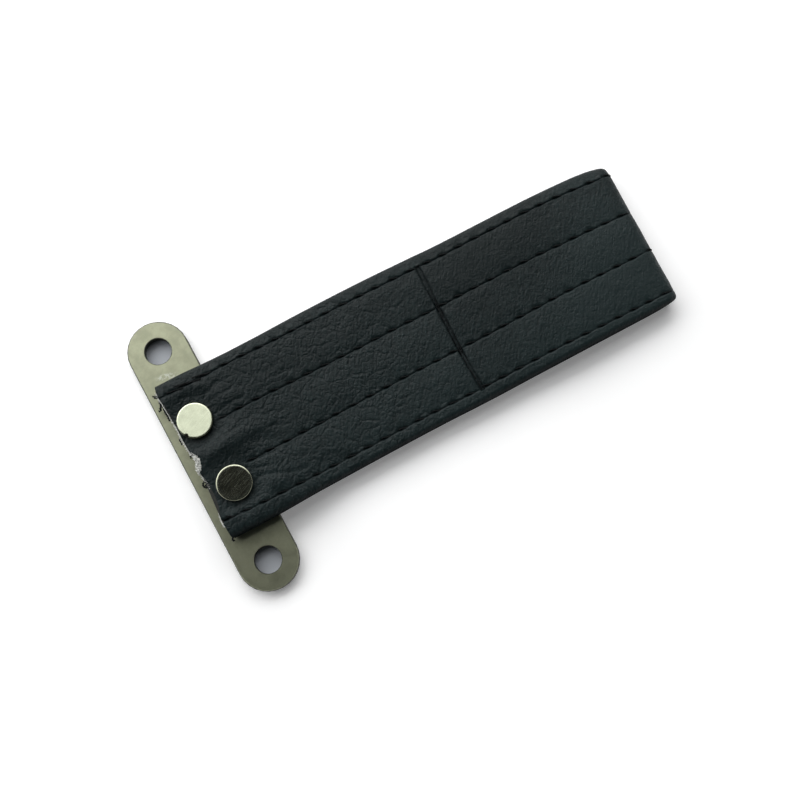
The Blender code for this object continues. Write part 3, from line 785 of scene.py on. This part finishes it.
def faceHeight(distance, y):
    # height of the outer face above the leg's middle, and how deep in a groove each point lies, which with the
    # cross seams' share becomes the mask of painted shade
    x = follow(distance)[0]
    panel, above, below = panelPlace(distance, x, y)
    onTop, atFold = onTopLeg(distance), atFoldAt(x)
    sunk, pucker = rowDents(distance, y, panel, above, below)
    wholeWidth = above + below + 1e-6
    crown = np.where((panel > 0) & (panel < 4), 1 - np.abs(2 * above / wholeWidth - 1) ** 2.4, 0.3)
    ripple = 1 - 0.7 * sunk
    free = levelAt(onTop) + strap["dome"] * crown * (0.35 + 0.65 * onTop) * (1 - 0.6 * atFold)
    free -= np.where(panel == 0, strap["stripTilt"] * below / wholeWidth * onTop, 0)
    free += quilt["sag"] * ripple * crown * unevenness(distance, y, 9.0, 3) * (0.3 + 0.7 * onTop)
    free += quilt["wrinkle"] * ripple * unevenness(distance, y, 2.3, 5) * (0.5 + 0.5 * onTop)
    free += strap["pucker"] * pucker * onTop * (1 - atFold)
    dent = grooveAt(atFold) * sunk
    for hole in needleHoles(distance, x, y, atFold):
        dent, sunk = dent + quilt["holeDepth"] * hole, np.maximum(sunk, hole)
    deep, paintedShade, folds = seamDents(distance, x, y)
    # the cross seams' painted shade joins the sunk mark
    sunk = np.maximum(sunk, paintedShade)
    free += folds - np.maximum(dent, (grooveAt(atFold) + 0.08) * deep)
    pressed, lip, rucks = rivetDents(x, y)
    pressed = pressed * onTop
    free += onTop * ((1 - 0.6 * sunk) * swellsAt(x, y) + rucks)
    seat = headSeat - float(lowerMiddle(np.array(0.0))) - strap["leg"] - strap["legGap"] - 0.03
    top = free * (1 - pressed) + seat * pressed + onTop * (quilt["lip"] * lip - creaseDip(x, y))
    top = np.where(pressed > 0.99, np.minimum(top, seat), top)
    return np.where(distance < foldEnd, top, np.minimum(top, halfLeg - 0.01)), sunk


def coverStations():
    # closer together near the rivets, at the cross seams and round the fold
    seam, lowerSeam = seamDistances
    return np.concatenate((
        np.arange(0, 36, 0.28), np.arange(36, seam - 1.7, 0.40), np.linspace(seam - 1.6, seam + 1.6, 21),
        np.arange(seam + 2.0, foldStart, 0.42), np.linspace(foldStart, foldEnd, 22),
        np.arange(foldEnd + 0.4, lowerSeam - 1.3, 0.8), np.linspace(lowerSeam - 1.2, lowerSeam + 1.2, 9),
        np.arange(lowerSeam + 2.0, stripEnd - 6, 0.8), np.linspace(stripEnd - 6, stripEnd, 20),
    ))


def edgeRoll(stations, edge, reach, topHeight):
    # the rounded edge, from the outer face to the inner one
    middle, tall = (topHeight - halfLeg) / 2, (topHeight + halfLeg) / 2
    rings = []
    for angle in np.radians(np.linspace(90, -90, 13))[1:-1]:
        out = (reach if angle > 0 else np.sign(reach) * strap["roll"]) * (1 - np.cos(angle))
        rings.append(onStrip(stations, edge - out, middle + tall * np.sin(angle)))
    return rings


def flatRings(stations, first, last, height, count):
    places = [first + (last - first) * share for share in np.linspace(0, 1, count)]
    return [onStrip(stations, across, height + 0 * across) for across in places]


def tubeFaces(base, rows, size, inward=False):
    # faces between closed rings of points
    here = base + np.arange(rows - 1)[:, None] * size + np.arange(size)
    side = base + np.arange(rows - 1)[:, None] * size + (np.arange(size) + 1) % size
    corners = (here, here + size, side + size, side) if inward else (here, side, side + size, here + size)
    return np.stack(corners, axis=-1).reshape(-1, 4).tolist()


def coverMarks(points, stations, face, sunk, size, rolled, under):
    # how light, creased and sunk each point is; a ring runs over the face, the lower edge, the underside and
    # the upper edge. The lightness holds painted shade of the lower leg, the hollows and the slope across; sunk
    # holds the painted shade of grooves, needle holes, cross seams, the lower edge and the underside
    rows, columns = face.shape
    x, onTop = follow(stations)[0][:, None], onTopLeg(stations)[:, None]
    tone = np.repeat(toneAt(x) + quilt["lowerTone"] * (1 - onTop), size, axis=1)
    # painted shade in the hollows
    hollow = np.zeros(face.shape)
    for hx, hy, along, across, share in quilt["hollows"]:
        hollow = np.maximum(hollow, share * np.exp(-((x - hx) / along) ** 2 - ((face - hy) / across) ** 2))
    tone[:, :columns] -= hollow * quilt["hollowTone"] * onTop
    tone[:, :faceColumns[0]] += quilt["stripTone"]
    # painted shade: sunk on the face, dusk on the lower edge's rings and the lower leg, duskUnder on the
    # underside
    paintedShade = np.zeros((rows, size))
    paintedShade[:, :columns] = sunk
    for ring in range(rolled):
        dusk = np.interp(ring, *quilt["dusk"])
        paintedShade[:, columns + ring] = (dusk * onTop + quilt["duskBelow"] * (1 - onTop))[:, 0]
    paintedShade[:, columns + rolled:columns + rolled + under] = quilt["duskUnder"]
    (least, more), (end, length) = quilt["creasedShare"], quilt["creasedUpTo"]
    creased = np.repeat(least + more * (1 - ease((x - end) / length)), size, axis=1)
    inSlot = np.zeros(len(points) - rows * size)
    marks = {name: np.concatenate((values.ravel(), inSlot))
             for name, values in (("tone", tone), ("creased", creased), ("sunk", paintedShade))}
    # painted shade: darker towards the upper edge
    marks["tone"] += np.interp(points[:, 0], quilt["slopeFrom"], quilt["toneSlope"]) * points[:, 1]
    return marks


def makeCover(vinyl, cut):
    stations = coverStations()
    x = follow(stations)[0]
    face = rowGrid(stations, x)
    spread = np.repeat(stations[:, None], face.shape[1], axis=1)
    heights, sunk = faceHeight(spread, face)
    upper, lower = edgesAt(stations, x)
    lowerRoll = edgeRoll(stations, lower, -lowerRollAt(x), heights[:, -1])
    inner = flatRings(stations, lower + strap["roll"], upper - strap["roll"], -halfLeg, 13)
    upperRoll = edgeRoll(stations, upper, strap["roll"] + 0 * x, heights[:, 0])[::-1]
    rings = np.stack(lowerRoll + inner + upperRoll, axis=1)
    rings = np.concatenate((onStrip(spread, face, heights), rings), axis=1)
    rows, size = rings.shape[:2]

    # the slot that the reinforcing strip lies in
    slotStations = np.concatenate(([0.0], np.linspace(3, stripEnd - 3, 70), [stripEnd]))
    slotX = follow(slotStations)[0]
    sides = (upperEdgeAt(slotX) - strap["slotIn"], lowerEdgeAt(slotX) + strap["slotIn"])
    slot = flatRings(slotStations, *sides, strap["slotHalf"], 14)
    slot = np.stack(slot + flatRings(slotStations, *sides[::-1], -strap["slotHalf"], 14), axis=1)
    points = np.concatenate((rings.reshape(-1, 3), slot.reshape(-1, 3)))
    base, (slotRows, slotSize) = rows * size, slot.shape[:2]
    faces = tubeFaces(0, rows, size) + tubeFaces(base, slotRows, slotSize, inward=True)
    skins = len(faces)

    # the two cut ends, between the outside and the slot
    for row, slotRow, order in ((0, 0, 1), (rows - 1, slotRows - 1, -1)):
        outer = list(range(row * size, (row + 1) * size))
        within = list(range(base + slotRow * slotSize, base + (slotRow + 1) * slotSize))
        faces += [corners[::order] for corners in zipLoops(points, outer, within)]
    finishOf = np.zeros(len(faces), int)
    finishOf[skins:] = 1
    marks = coverMarks(points, stations, face, sunk, size, len(lowerRoll), len(inner))
    cover = meshPiece("strapCover", points, faces, [vinyl, cut], finishOf, marks)
    cover.data.set_sharp_from_angle(angle=math.radians(62))
    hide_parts("strap_cover")
    return keepPiece(cover)


def zipLoops(points, outer, within):
    # triangles between two loops that run the same way round
    def turns(loop):
        flat = points[loop] - points[within].mean(axis=0)
        tall = 8.0  # stretched, so that the thin section becomes about round
        return np.unwrap(np.arctan2(flat[:, 2] * tall, flat[:, 1]))

    a, b = turns(outer), turns(within)
    start = int(np.argmin(np.abs((b - a[0] + math.pi) % (2 * math.pi) - math.pi)))
    within = within[start:] + within[:start]
    b = turns(within)
    b = b - round((b[0] - a[0]) / (2 * math.pi)) * 2 * math.pi
    sign = -1 if a[-1] < a[0] else 1
    a, b = (np.append(turned * sign, turned[0] * sign + 2 * math.pi) for turned in (a, b))
    outer, within = outer + outer[:1], within + within[:1]
    faces, i, j = [], 0, 0
    while i < len(outer) - 1 or j < len(within) - 1:
        if j == len(within) - 1 or (i < len(outer) - 1 and a[i + 1] <= b[j + 1]):
            faces.append((outer[i + 1], outer[i], within[j]))
            i += 1
        else:
            faces.append((within[j], within[j + 1], outer[i]))
            j += 1
    return faces


# Thread

thread = {
    "thickness": 0.38, "lay": 1.1, "step": 0.22, "sides": 5,
    "plyRadius": 0.27, "plyOff": 0.23,  # shares of the thickness
    "proud": 0.08,  # of its middle above the groove
    "shown": 0.56,  # share of each stitch that isn't under the leather
    "tail": 0.60,  # thickness of the loose ends
    "dive": 0.55,  # of its two ends into the leather
    "jitter": 0.07,
    "above": 0.24, "clear": 0.2,  # above the row's line, and at least from the floor
    "stopsShort": (0.9, 9.0, 9.0, 0.9),  # of the strip's end, each row
    # sewn over at a row's start: how many stitches, their two ends and the distance beside the row
    "sewnOver": {0: ((2, 1.7, 4.2, 0.40), (2, 0.6, 2.6, -0.30), (2, 2.6, 4.6, 0.05)),
                 3: ((1, 0.6, -1.4, 0.4),)},
}


class Growth(Nodes):  # a Geometry Nodes tree that makes something along a wire
    def __init__(self, name, **inputs):
        super().__init__(bpy.data.node_groups.new(name, "GeometryNodeTree"))
        self.tree.interface.new_socket("Geometry", in_out="OUTPUT", socket_type="NodeSocketGeometry")
        for key, kind in {"Geometry": "Geometry", "Step": "Float", **inputs, "Finish": "Material"}.items():
            self.tree.interface.new_socket(key, in_out="INPUT", socket_type="NodeSocket" + kind)
        self.inlet = self.tree.nodes.new("NodeGroupInput")

    def given(self, name):
        return Wire(self, self.inlet.outputs[name])

    def steps(self):
        # the wire, cut into equal steps
        curve = self.node("GeometryNodeMeshToCurve", None, Mesh=self.given("Geometry"))
        return self.node("GeometryNodeResampleCurve", {"mode": "LENGTH"}, Curve=curve,
                         Length=self.given("Step"))

    def circle(self, sides, radius):
        return self.node("GeometryNodeCurvePrimitiveCircle", None, Resolution=sides, Radius=radius)

    def sweep(self, curve, profile):
        return self.node("GeometryNodeCurveToMesh", None, Curve=curve, ProfileCurve=profile, FillCaps=True)

    def finish(self, geometry):
        real = self.node("GeometryNodeRealizeInstances", None, geometry)
        painted = self.node("GeometryNodeSetMaterial", None, real, Material=self.given("Finish"))
        self.tree.links.new(painted.socket, self.tree.nodes.new("NodeGroupOutput").inputs["Geometry"])
        return self.tree


def threadTree():
    tree = Growth("sewnThread", Thickness="Float", Lay="Float", Sides="Int")
    # twisted along its length, so that the two plies wind round each other
    turns = tree.node("GeometryNodeSplineParameter").out("Length") / tree.given("Lay")
    twisted = tree.node("GeometryNodeSetCurveTilt", None, Curve=tree.steps(), Tilt=turns * (2 * math.pi))
    # two plies side by side as the profile
    thickness = tree.given("Thickness")
    ply = tree.circle(tree.given("Sides"), thickness * thread["plyRadius"])
    plies = tree.node("GeometryNodeJoinGeometry")
    for side in (1, -1):
        beside = tree.joined(thickness * (thread["plyOff"] * side))
        moved = tree.node("GeometryNodeTransform", None, Geometry=ply, Translation=beside)
        tree.feed(plies.socket.node.inputs["Geometry"], moved)
    return tree.finish(tree.node("GeometryNodeSetShadeSmooth", None, tree.sweep(twisted, plies)))


def grow(name, paths, tree, settings):
    # runs a tree on a wire along each path and keeps the result as a plain mesh
    points, edges = [], []
    for path in paths:
        edges += [(i, i + 1) for i in range(len(points), len(points) + len(path) - 1)]
        points += list(path)
    mesh = bpy.data.meshes.new(name + "Wire")
    mesh.from_pydata([tuple(point) for point in np.asarray(points) * mm], edges, [])
    source = bpy.data.objects.new(name + "Wire", mesh)
    bpy.context.scene.collection.objects.link(source)
    modifier = source.modifiers.new("grow", "NODES")
    modifier.node_group = tree
    for item in tree.interface.items_tree:
        if item.in_out == "INPUT" and item.name in settings:
            modifier[item.identifier] = settings[item.name]
    bpy.context.view_layer.update()
    result = bpy.data.meshes.new_from_object(source.evaluated_get(bpy.context.evaluated_depsgraph_get()))
    result.name = name
    bpy.data.objects.remove(source)
    piece = bpy.data.objects.new(name, result)
    bpy.context.scene.collection.objects.link(piece)
    return piece


def threadSettings(black):
    return {"Thickness": thread["thickness"] * mm, "Lay": thread["lay"] * mm, "Step": thread["step"] * mm,
            "Sides": thread["sides"], "Finish": black}


def grooveFloorAt(distance):
    onTop, atFold = onTopLeg(distance), atFoldAt(follow(distance)[0])
    return float(levelAt(onTop) - grooveAt(atFold))


def stitchShape():
    # (share of the stitch, sideways as a share of the slant, height above the groove's floor)
    proud, dive = thread["proud"], thread["dive"]
    shape = ((0.0, 1.0, -dive), (0.06, 1.0, -0.15), (0.18, 0.85, proud * 0.7), (0.35, 0.5, proud),
             (0.55, 0.0, proud), (0.75, -0.45, proud), (0.90, -0.8, proud * 0.6), (0.96, -1.0, -0.15),
             (1.0, -1.0, -dive))
    return [(share * thread["shown"], sideways, rise) for share, sideways, rise in shape]


def firstDistance(number):
    start = 0.9
    for place in (rivetLook["upper"], rivetLook["lower"]):
        if abs(rowsAt[number](place[0]) - place[1]) < rivetLook["head"] / 2 + 0.3:
            start = max(start, float(distanceAt(place[0] + rivetLook["head"] / 2 + 0.6)))
    return start


def rowSpans(number, start, end):
    # from hole to hole, and how far beside the row, with the stitches that are sewn over at its start
    holes = holeDistances(number)
    spans = [(a, b, 0.0) for a, b in zip(holes[:-1], holes[1:]) if b > start + 1.0 and a < end - 1.0]
    for first, back, forth, beside in thread["sewnOver"].get(number, ()):
        spans += [(a + back, b + forth, beside) for a, b, _ in spans[:first]]
    return spans


def makeRow(number, tree, black):
    rng = np.random.default_rng(100 + number)
    start, end = firstDistance(number), stripEnd - thread["stopsShort"][number]
    paths = []
    for a, b, beside in rowSpans(number, start, end):
        a, b = max(a, start), min(b, end)
        skew, lift = rng.normal(0, thread["jitter"]), rng.normal(0, 0.02) + 0.2 * (beside != 0)
        path = []
        for share, sideways, rise in stitchShape():
            distance = a + (b - a) * share
            row = float(rowsAt[number](follow(distance)[0])) + thread["above"]
            across = row + sideways * quilt["slant"] + skew * (1 - 2 * share) + beside
            floor = grooveFloorAt(distance) + 0.02
            if rise > 0:
                floor = max(floor, float(faceHeight(np.array([distance]), np.array([across]))[0][0]) - 0.05)
            height = floor + rise + (lift + thread["thickness"] / 2 * 0.6 if rise > 0 else 0)
            point = onStrip(np.array(distance), np.array(across), np.array(height))
            point[2] = max(point[2], thread["clear"])
            path.append(point)
        paths.append(path)
    row = grow(f"stitchRow{number + 1}", paths, tree, threadSettings(black))
    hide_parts(f"stitch_row_{number + 1}")
    return keepPiece(row)


crossSeam = {
    "stitch": 3.3, "overlap": 0.25, "proud": 0.14, "over": 0.12,  # over the rows that it crosses
    "secondStarts": 1.5,
    # distance between the two strands, from side to side
    "spread": ((-17, 0.7), (-14.5, 0.9), (-13, 0.55), (-10.5, 1.0), (-8, 0.6), (-5.5, 0.5), (-3, 0.75),
               (-0.5, 0.45), (2, 0.6), (4.5, 0.5), (7.5, 0.35), (9.5, 0.7), (12, 1.35), (15, 1.45),
               (17.5, 1.0)),
    "lean": ((-17, 0.35), (-8, 0.1), (0, 0.0), (9, 0.05), (17.5, -0.2)),
}


def makeCrossSeam(name, node, seam, tree, finish, seed):
    rng = np.random.default_rng(seed)
    spread, lean = smoothLine(crossSeam["spread"], 1.2), smoothLine(crossSeam["lean"])
    rows = [float(row(strap["seam"])) for row in rowsAt]
    bottom = rows[3] - 0.2
    paths = []
    for side in (-1, 1):
        y = rows[0] + 0.2 - (0 if side < 0 else crossSeam["secondStarts"])
        while y > bottom + 1.0:
            size = min(crossSeam["stitch"] * rng.uniform(0.9, 1.1), y - bottom)
            skew, path = rng.normal(0, 0.06), []
            for share, sideways, rise in stitchShape():
                share /= thread["shown"]
                across = y - size * share
                off = lean(across) + side * spread(across) / 2 + skew * (1 - 2 * share) + 0.06 * sideways
                over = crossSeam["over"] * max(0, 1 - min(abs(across - row) for row in rows) / 0.6)
                proud = thread["thickness"] * crossSeam["proud"] + over if rise > 0 else 0
                spot = seam + off if seam < foldStart else seam - off
                height = grooveFloorAt(seam) + rise + proud
                path.append(onStrip(np.array(spot), np.array(across), np.array(height)))
            paths.append(path)
            y -= size - crossSeam["overlap"]
    piece = grow(name, paths, tree, threadSettings(finish))
    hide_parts(node)
    return keepPiece(piece)


looseEnds = {
    # paths past the cut (x, y, z), seen at its upper corner, between the rivets and at its lower corner
    "tails": (
        ((-3.6, 17.2, 7.9), (-4.3, 17.2, 7.6), (-4.9, 17.02, 7.5), (-5.4, 17.3, 7.0), (-5.6, 17.9, 6.8),
         (-6.0, 18.1, 6.6)),
        ((-3.8, 17.5, 7.7), (-4.6, 17.6, 7.4), (-5.2, 17.5, 7.1), (-5.8, 17.6, 6.8)),
        ((-4.2, 16.6, 6.9), (-4.6, 16.5, 6.6), (-5.1, 16.4, 6.4), (-5.3, 15.96, 6.0), (-5.25, 15.45, 5.6),
         (-5.8, 15.1, 5.0), (-5.9, 14.7, 4.6), (-6.5, 14.75, 4.2)),
        ((-4.4, 16.3, 6.8), (-4.8, 16.2, 6.6), (-5.2, 15.7, 6.0), (-5.6, 15.1, 5.4), (-6.0, 14.95, 5.0)),
        ((-4.7, 15.6, 6.8), (-5.0, 14.0, 6.5), (-4.95, 12.4, 6.4), (-5.0, 11.0, 6.2)),
        ((-4.0, 6.2, 7.0), (-4.5, 6.06, 6.8), (-5.0, 5.97, 6.4), (-4.9, 5.4, 6.0), (-5.0, 4.7, 5.6)),
        ((-3.6, 1.1, 7.2), (-4.0, 1.0, 7.0), (-4.35, 1.25, 6.8), (-4.5, 0.7, 6.6)),
        ((-3.8, -5.6, 7.1), (-4.2, -5.7, 6.8), (-4.75, -5.9, 6.5), (-4.9, -6.5, 6.2), (-4.5, -7.1, 6.1),
         (-4.15, -7.0, 6.4), (-4.3, -6.4, 6.6)),
        ((-3.9, -19.7, 6.0), (-4.1, -20.2, 5.6), (-4.6, -20.55, 5.2), (-4.6, -20.9, 4.8), (-4.2, -21.0, 4.6)),
    ),
}


def makeLooseEnds(tree, black):
    paths = []
    for tail in looseEnds["tails"]:
        path = np.array(tail)
        shares = np.linspace(0, len(path) - 1, 5 * len(path))
        places = np.arange(len(path))
        paths.append(np.column_stack([np.interp(shares, places, path[:, axis]) for axis in range(3)]))
    settings = {**threadSettings(black), "Thickness": thread["tail"] * mm}
    return keepPiece(grow("looseThreads", paths, tree, settings))


# Frayed fibres of the reinforcing strip

fray = {
    # one fibre as a bend that points along -X, its sides, its turns either way and its stretch by chance
    "bend": ((0.3, 0, 0), (-0.5, 0, 0.18), (-1.0, 0.25, -0.15)), "sides": 3,
    "turns": (1.6, 0.9, 1.0), "stretch": (0.35, 1.0),
    # where fibres grow: strip's end, heights, first and last place across, places, and how far inside the cut
    "edge": {"lines": ((0, (0.75, 0.4, 0.05)), (1, (0.2,))), "across": (18.2, -17.2, 60), "inside": 0.05,
             "Length": 0.62, "Radius": 0.0375, "Step": 0.11, "Spread": 0.45, "Seed": 7},
    "tuft": {"lines": ((0, (0.2, 0.6, 0.95, 1.25, 1.5)),), "across": (0.5, -3.2, 12), "inside": 0.25,
             "Length": 1.25, "Radius": 0.08, "Step": 0.045, "Spread": 1.0, "Seed": 12},
}


def frayTree():
    tree = Growth("frayedFibres", Length="Float", Radius="Float", Spread="Float", Seed="Int")
    start, middle, end = fray["bend"]
    bend = tree.node("GeometryNodeCurveQuadraticBezier", None, Resolution=5, Start=start, Middle=middle,
                     End=end)
    size = tree.joined(*[tree.given("Length")] * 3)
    bend = tree.node("GeometryNodeTransform", None, Geometry=bend, Scale=size)
    fibre = tree.sweep(bend, tree.circle(fray["sides"], tree.given("Radius")))
    low, high = (tree.vector("SCALE", tuple(side * turn for turn in fray["turns"]), Scale=tree.given("Spread"))
                 for side in (-1, 1))
    seed = tree.given("Seed")
    turned = tree.node("FunctionNodeRandomValue", {"data_type": "FLOAT_VECTOR"}, low, high, Seed=seed)
    stretched = tree.node("FunctionNodeRandomValue", {"data_type": "FLOAT"}, *fray["stretch"], Seed=seed)
    return tree.finish(tree.node("GeometryNodeInstanceOnPoints", None, Points=tree.steps(), Instance=fibre,
                                 Rotation=turned, Scale=stretched))


def makeFray(name, look, tree, pale):
    first, last, places = look["across"]
    across = np.linspace(first, last, places)
    paths = []
    for end, heights in look["lines"]:
        for height in heights:
            line = onStrip(np.full(places, end * stripEnd), across, np.full(places, height))
            line[:, 0] += look["inside"]
            paths.append(line)
    settings = {key: look[key] * mm for key in ("Length", "Radius", "Step")}
    settings.update({"Spread": look["Spread"], "Seed": look["Seed"], "Finish": pale})
    return keepPiece(grow(name, paths, tree, settings))


# Rivets

def rivetProfile():
    look = rivetLook
    head, rim, shank = look["head"] / 2, look["rim"], look["shank"] / 2
    top, seat, sunk, curl = headTop, headTop - look["thickness"], look["countersink"], look["curl"]
    tail, bore = look["tail"] / 2, look["tailBore"] / 2
    line = [(0.0, sunk + 0.4), (bore * 0.6, sunk + 0.3), (bore, sunk)]
    for angle in np.radians(range(180, 361, 20)):  # the rolled tail, round its lower side
        line.append(((bore + tail) / 2 + (tail - bore) / 2 * math.cos(angle),
                     look["recess"] + curl + curl * math.sin(angle)))
    line += [(shank + 0.15, sunk), (shank, sunk + 0.3), (shank, seat), (head - rim, seat)]
    for angle in np.radians(range(-80, 91, 10)):  # the head's rolled rim
        centre = seat + rim if angle < 0 else top - rim
        line.append((head - rim + rim * math.cos(angle), centre + rim * math.sin(angle)))
    return line + [(head - rim - 0.25, top - 0.004), (head * 0.6, top - 0.012), (head * 0.3, top - 0.02),
                   (0.0, top - 0.02)]


def makeRivet(name, node, place, nickel):
    rivet = meshPiece(name, *revolve(rivetProfile(), rivetLook["sides"], place), [nickel])
    rivet.data.set_sharp_from_angle(angle=math.radians(48))
    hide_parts(node)
    return keepPiece(rivet)


# Stage

stage = {
    "floor": 3000.0, "wall": 1250.0, "curve": 500.0, "sides": 64,
    "shade": (0.92, 0.92, 0.92),
    # painted shade: the floor under the screw holes is painted darker and loses its glow there
    "holeShade": (0.38, 0.40, 0.43), "holeReach": (4.6, 5.4),  # of the floor in the screw holes
    # light of the floor in the camera's sight: near the strap, round it and far off, and how far these are
    "glow": (0.185, 0.55, 1.0), "strapReach": (34.0, 90.0), "farReach": (140.0, 450.0),
    "strapMiddle": 55.0, "strapHalf": 65.0,
    "world": (0.92, 0.97, 1.0), "worldLevel": 0.045,
    "cards": {
        "nearCard": {"middle": (-60.0, 158.0, 400.0), "size": (1500.0, 184.0), "level": 1.22},
        "farCard": {"middle": (-60.0, 625.0, 400.0), "size": (1500.0, 750.0), "level": 4.4},
        "fillCard": {"middle": (-800.0, 100.0, 260.0), "size": (700.0, 420.0), "level": 0.5,
                     "aim": (45.0, 0.0, 0.0)},
    },
    "lens": 45.0, "camera": (19.40, -39.12, 242.18), "turns": (-27.77, 9.16, -2.27),
}


def card(name, middle, size, level, aim=None):
    light = bpy.data.lights.new(name, "AREA")
    light.shape = "RECTANGLE"
    light.size, light.size_y = size[0] * mm, size[1] * mm
    light.energy = level * math.pi * light.size * light.size_y
    made = bpy.data.objects.new(name, light)
    made.location = Vector(middle) * mm
    if aim is not None:
        made.rotation_euler = (Vector(aim) - Vector(middle)).to_track_quat("-Z", "Y").to_euler()
    bpy.context.scene.collection.objects.link(made)


def makeFloor():
    flat, curve = stage["floor"] - stage["curve"], stage["curve"]
    profile = [(0.0, 0.0), (flat, 0.0)]
    for angle in np.radians(range(15, 91, 15)):
        profile.append((flat + curve * math.sin(angle), curve * (1 - math.cos(angle))))
    points, faces = revolve(profile + [(stage["floor"], stage["wall"])], stage["sides"])
    paint = Paint("paleFloor")
    x, y, _ = paint.axes(paint.place())
    rays = paint.node("ShaderNodeLightPath")
    seen = rays.out("Is Camera Ray").atLeast(rays.out("Is Glossy Ray"))
    seen = seen.atLeast(rays.out("Is Transmission Ray"))
    plateX, plateY, _ = paint.axes(paint.place(turn=plateLook["turn"]))
    fromHole = span(plateX, abs(plateY) - plateLook["holeSpacing"] / 2)
    # painted shade: under the screw holes the floor turns to holeShade, without glow
    clear = paint.range(fromHole, *stage["holeReach"])
    fromStrap = span((abs(x - stage["strapMiddle"]) - stage["strapHalf"]).atLeast(0.0), y)
    near, around, far = stage["glow"]
    glow = (paint.range(fromStrap, *stage["strapReach"], near, around)
            + paint.range(span(x, y), *stage["farReach"], 0.0, far - around)) * seen * clear
    light = paint.node("ShaderNodeEmission", None, (1, 1, 1, 1), glow)
    base = paint.node("ShaderNodeBsdfDiffuse", None, paint.mix(clear, stage["holeShade"], stage["shade"]))
    paint.tree.nodes.remove(paint.shader)
    paint.feed(paint.output.inputs["Surface"], paint.node("ShaderNodeAddShader", None, base, light))
    meshPiece("floor", points, [face[::-1] for face in faces], [paint.material])


def makeStage():
    makeFloor()
    for name, look in stage["cards"].items():
        card(name, **look)
    world = bpy.data.worlds.new("studio")
    world.use_nodes = True
    back = world.node_tree.nodes["Background"].inputs
    back["Color"].default_value, back["Strength"].default_value = (*stage["world"], 1), stage["worldLevel"]
    bpy.context.scene.world = world
    bpy.context.scene.view_settings.view_transform = "Standard"

    lens = bpy.data.cameras.new("photoView")
    lens.lens, lens.sensor_width = stage["lens"], 36.0
    lens.clip_start, lens.clip_end = 0.01, 20.0
    view = bpy.data.objects.new("photoView", lens)
    spin, tilt, swing = (math.radians(value) for value in stage["turns"])
    turn = Matrix.Rotation(spin, 4, "Z") @ Matrix.Rotation(tilt, 4, "X") @ Matrix.Rotation(swing, 4, "Y")
    view.matrix_world = Matrix.Translation([value * mm for value in stage["camera"]]) @ turn
    bpy.context.scene.collection.objects.link(view)
    bpy.context.scene.camera = view


# Everything

def repaint(node, finish):
    piece = frame["nodes"][node]
    piece.data.materials.clear()
    piece.data.materials.append(finish)


makeStage()
print("stage ready")
black, shadedBlack, pale = (fuzzyFinish(name) for name in ("blackThread", "seamThread", "paleFibre"))
repaint("mounting_plate", platedSteel())
repaint("strap_core", pale)
print("finishes ready")
makeCover(leathercloth(), fuzzyFinish("cutEdge"))
print("cover ready")
windings = threadTree()
for number in range(4):
    makeRow(number, windings, black)
makeCrossSeam("crossSeamUpper", "cross_seam_upper", seamDistances[0], windings, shadedBlack, 41)
makeCrossSeam("crossSeamLower", "cross_seam_lower", seamDistances[1], windings, shadedBlack, 43)
makeLooseEnds(windings, black)
print("threads ready")
fibres = frayTree()
makeFray("coreFray", fray["edge"], fibres, pale)
makeFray("coreTuft", fray["tuft"], fibres, pale)
print("fibres ready")
for side in ("upper", "lower"):
    nickel = nickelPlate("nickel" + side.title(), rivetLook[side], nickelLook[side])
    makeRivet("rivet" + side.title(), "rivet_" + side, rivetLook[side], nickel)
print("rivets ready")

bpy.context.view_layer.update()
for piece in bpy.context.scene.objects:
    if piece.type == "MESH":
        piece.data.calc_loop_triangles()
        print(piece.name, len(piece.data.loop_triangles), "triangles")
